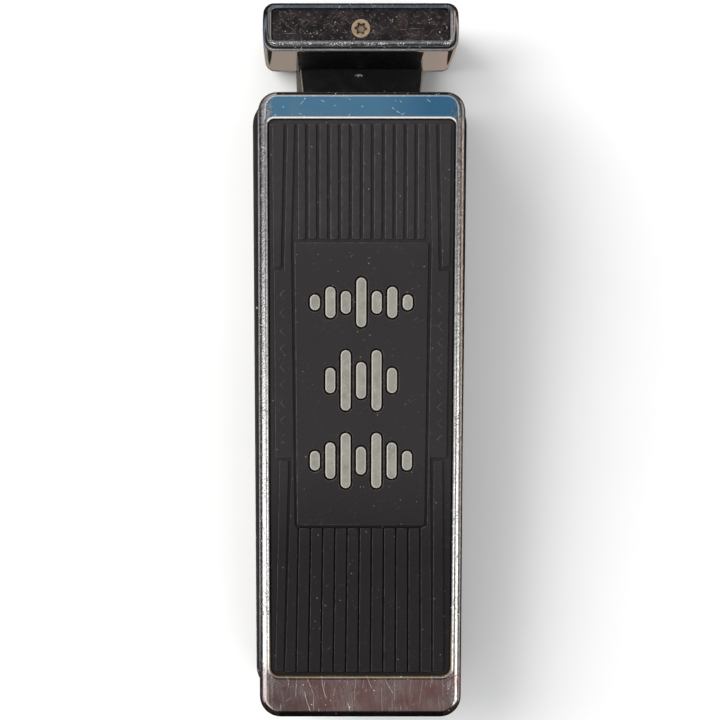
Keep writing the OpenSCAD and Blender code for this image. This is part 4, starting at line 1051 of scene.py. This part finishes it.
# ---------------------------------------------------------------- the scene round it

def studio():
    """A pale floor that mirrors see in other colours, and soft lights."""
    p = Paint("floor_paint")
    grain = p.noise(60, 3)
    shade = p.mix(grain, (0.83, 0.83, 0.83), (0.87, 0.87, 0.87))
    p.finish(Base_Color=shade, Roughness=0.9, Specular_IOR_Level=0.1)
    # Painted reflection: mirrors see another, glowing floor: pale to the left, black as painted shadow to the right
    # and past the heel, warm round the head, with painted shade in the corners by the head's wings, and dark beyond
    # the head
    x, y, _ = p.axes()
    seen = p.mix(p.span(x, -10, 10), (0.5, 0.47, 0.47), (0.008, 0.006, 0.005))
    head = p.mix(p.span(x, 30, 36), (0.325, 0.27, 0.22), (0.39, 0.28, 0.24))
    # Painted shade in the corners beside the head's wings
    corner = p.times(p.span(p.maths("ABSOLUTE", x), 35.6, 36.6), p.span(y, 110.5, 109.5))
    head = p.mix(corner, head, (0.02, 0.017, 0.015))
    seen = p.mix(p.span(y, 96, 98), seen, head)
    seen = p.mix(p.span(y, -118, -124), seen, (0.006, 0.005, 0.005))
    seen = p.mix(p.span(y, 130, 140), seen, (0.03, 0.025, 0.02))
    # This glow, seen only in reflections, is a painted reflection, not a lamp
    warm = p.add("ShaderNodeEmission")
    p.put(seen, warm.inputs["Color"])
    warm.inputs["Strength"].default_value = 1.0
    path = p.add("ShaderNodeLightPath")
    swap = p.add("ShaderNodeMixShader")
    p.put(path.outputs["Is Glossy Ray"], swap.inputs[0])
    p.put(p.bsdf.outputs[0], swap.inputs[1])
    p.put(warm.outputs[0], swap.inputs[2])
    p.put(swap.outputs[0], p.out.inputs[0])
    reach = 4.0
    mesh = bpy.data.meshes.new("floor")
    mesh.from_pydata([(x, y, 0) for x, y in block(-reach, reach, -reach, reach)], [], [(0, 1, 2, 3)])
    mesh.materials.append(p.mat)
    link(bpy.data.objects.new("floor", mesh))

    for name, place, size, power, colour in (
            ("key", (-0.95, 0.42, 0.95), 1.1, 21.5, (1.0, 0.99, 0.97)),
            ("fill", (0.5, -0.9, 1.4), 1.2, 4.5, (1.0, 1.0, 1.0))):
        light = bpy.data.lights.new(name, "AREA")
        light.size, light.energy, light.color = size, power, colour
        lamp = link(bpy.data.objects.new(name, light))
        lamp.location = place
        lamp.rotation_euler = (-Vector(place)).to_track_quat("-Z", "Y").to_euler()
        lamp.visible_glossy = False


def world_light():
    """Even light, and in mirrors bands of colour across the pedal and along it."""
    world = bpy.data.worlds.new("studio_world")
    bpy.context.scene.world = world
    w = Nodes(world)

    def ramp(value, stops, smooth="LINEAR"):
        """Colours at angles in degrees. value is an angle, 0 to 1 for -90 to 90 degrees."""
        node = w.add("ShaderNodeValToRGB")
        node.color_ramp.interpolation = smooth
        w.put(value, node.inputs[0])
        elements = node.color_ramp.elements
        elements.remove(elements[1])
        for i, (degrees, *colour) in enumerate(stops):
            at = degrees / 180 + 0.5
            stop = elements.new(at) if i else elements[0]
            stop.position, stop.color = at, (*colour, 1)
        return node.outputs[0]

    def turns(angle):
        return w.plus(w.maths("DIVIDE", angle, math.pi), 0.5)

    split = w.add("ShaderNodeSeparateXYZ")
    w.put(w.add("ShaderNodeTexCoord").outputs["Generated"], split.inputs[0])
    x, y, z = split.outputs
    aside, ahead = turns(w.maths("ARCSINE", x)), w.maths("ARCSINE", y)
    dark = [(-88, 0.03, 0.03, 0.035), (-60, 0.035, 0.035, 0.04)]
    across = ramp(aside, dark + [
        (-50, 0.15, 0.14, 0.15), (-42, 0.3, 0.28, 0.3),
        (-20, 0.34, 0.33, 0.33), (-6, 0.44, 0.43, 0.42), (-3, 0.34, 0.34, 0.34), (0, 0.1, 0.1, 0.11),
        (9, 0.07, 0.07, 0.075), (14, 0.3, 0.29, 0.27), (19, 0.2, 0.17, 0.15), (30, 0.16, 0.115, 0.095),
        (52, 0.13, 0.09, 0.075), (62, 0.75, 0.6, 0.53), (84, 0.72, 0.58, 0.5), (89, 0.05, 0.04, 0.03)])
    # Past the pedal's middle, toward the heel, both rims pick up a white strip
    heelward = ramp(aside, dark + [
        (-50, 0.3, 0.28, 0.3), (-43, 2.2, 2.2, 2.2),
        (-14, 2.2, 2.2, 2.1), (-5, 1.0, 0.99, 0.94), (-3, 0.5, 0.49, 0.47), (0, 0.1, 0.1, 0.11),
        (9, 0.07, 0.07, 0.075), (14, 0.3, 0.29, 0.27), (19, 2.6, 2.6, 2.5), (36, 2.4, 2.35, 2.3),
        (41, 0.06, 0.045, 0.04), (56, 0.12, 0.085, 0.08), (63, 0.55, 0.47, 0.43), (84, 0.5, 0.42, 0.38)])
    across = w.mix(w.span(ahead, math.radians(-9.6), math.radians(-11)), across, heelward)
    across = w.mix(w.span(ahead, math.radians(-27), math.radians(-33)), across, (0.02, 0.016, 0.012))
    along = ramp(turns(w.maths("ARCTAN2", y, z)), [
        (-60, 0.004, 0.004, 0.005), (-34, 0.008, 0.007, 0.008), (-29, 0.03, 0.022, 0.022), (-25, 0.17, 0.115, 0.11),
        (-17, 0.17, 0.115, 0.11), (-11, 0.13, 0.13, 0.135), (-7, 0.08, 0.15, 0.22), (-3, 0.08, 0.215, 0.345),
        (5, 0.07, 0.18, 0.3), (10, 0.08, 0.13, 0.19), (14, 0.07, 0.075, 0.085), (20, 0.45, 0.42, 0.4),
        (27, 0.62, 0.56, 0.52), (33, 0.2, 0.15, 0.13), (40, 0.012, 0.011, 0.01), (88, 0.01, 0.01, 0.01)])
    near = ramp(aside, [(-4.5, 0, 0, 0), (-2.3, 1, 1, 1), (8, 1, 1, 1), (12, 0, 0, 0)], "EASE")
    glossy = w.add("ShaderNodeLightPath").outputs["Is Glossy Ray"]
    shader = w.add("ShaderNodeBackground")
    w.put(w.mix(glossy, (0.92, 0.925, 0.935), w.mix(near, across, along)), shader.inputs[0])
    w.put(w.span(glossy, 0, 1, 0.75, 1), shader.inputs[1])
    w.put(shader.outputs[0], w.add("ShaderNodeOutputWorld").inputs[0])


def camera():
    """Looks straight down from a little to the left, with the lens shifted back over the pedal."""
    height, left, ahead = 0.65, -0.0148, 0.0009
    middle_height = 0.04
    sensor, pixels, focal = 36, 720, 1704.6
    data = bpy.data.cameras.new("camera")
    data.sensor_width = sensor
    data.lens = sensor * focal / pixels
    data.shift_x = (-focal * left / (height - middle_height) - 0.3) / pixels
    cam = link(bpy.data.objects.new("camera", data))
    cam.location = (left, ahead, height)
    bpy.context.scene.camera = cam


# ---------------------------------------------------------------- build

metal = chrome("chrome_worn")
treadle_tray(metal)
treadle_lugs(metal)
tread_pad(rubber("tread_rubber"))
# The inlays' brown colour for their marked sides is dirt with painted shade in the gaps
inlay_bars(satin_metal("inlay_satin", (0.33, 0.315, 0.28), 0.42, 0.9, mirror=0.35, shade_and_soil=(0.07, 0.042, 0.02)))
nose_cap(chrome("chrome_cap"))
nose_plate(scuffed_plate("plate_scuffed"))
# The screw's near-black colour for its marked rings is painted shade in the recess and round the head
nose_screw(satin_metal("brass_aged", (0.42, 0.3, 0.2), 0.38, scale=0.5, mirror=0.4, shade_and_soil=(0.015, 0.01, 0.007)))
black = cast_paint("base_enamel")
base_shell(black)
neck_and_core(black)

# The materials of the CAD nodes that are shown as they are
LOOKS = (
    (satin_metal("zinc_steel", (0.6, 0.6, 0.6), 0.36, scale=0.6),
     "foot_screws plate_screws pivot_shaft rack_pin bracket_screws pot_shaft pot_nut footswitch_plunger "
     "footswitch_washer footswitch_nut board_screws jack_washers jack_nuts"),
    (satin_metal("plate_steel", (0.5, 0.46, 0.4), 0.45), "bottom_plate pot_bracket"),
    (satin_metal("dark_steel", (0.2, 0.2, 0.21), 0.42, scale=0.6), "pivot_set_screws rack_pin_clip pressure_spring"),
    (satin_metal("pot_shell", (0.5, 0.46, 0.38), 0.4), "pot_body"),
    (rubber("foot_rubber", (0.025, 0.025, 0.025), 0.3), "rubber_feet switch_pad toe_bumpers heel_bumpers"),
    (rubber("foam_grey", (0.06, 0.06, 0.06), 0.2), "battery_foam"),
    (plastic("nylon_natural", (0.72, 0.69, 0.6), 0.5), "pivot_bushes rack rack_guide pinion"),
    (plastic("black_plastic", (0.02, 0.02, 0.02), 0.42), "transistors battery_snap jack_bodies"),
    (plastic("switch_blue", (0.03, 0.08, 0.28), 0.35), "footswitch_body"),
    (plastic("inductor_red", (0.4, 0.04, 0.02), 0.35), "inductor"),
    (plastic("capacitor_sleeve", (0.03, 0.07, 0.28), 0.3), "capacitors"),
    (plastic("resistor_lacquer", (0.5, 0.36, 0.18), 0.35), "resistors"),
    (plastic("battery_case", (0.1, 0.1, 0.11), 0.3), "battery"),
    (plastic("wire_red", (0.35, 0.03, 0.02), 0.35), "wiring"),
    (board_green("board_green"), "circuit_board"),
)
for material, names in LOOKS:
    for name in names.split():
        NODES[name].data.materials.clear()
        NODES[name].data.materials.append(material)

studio()
world_light()
camera()
bpy.context.scene.view_settings.view_transform = "Standard"
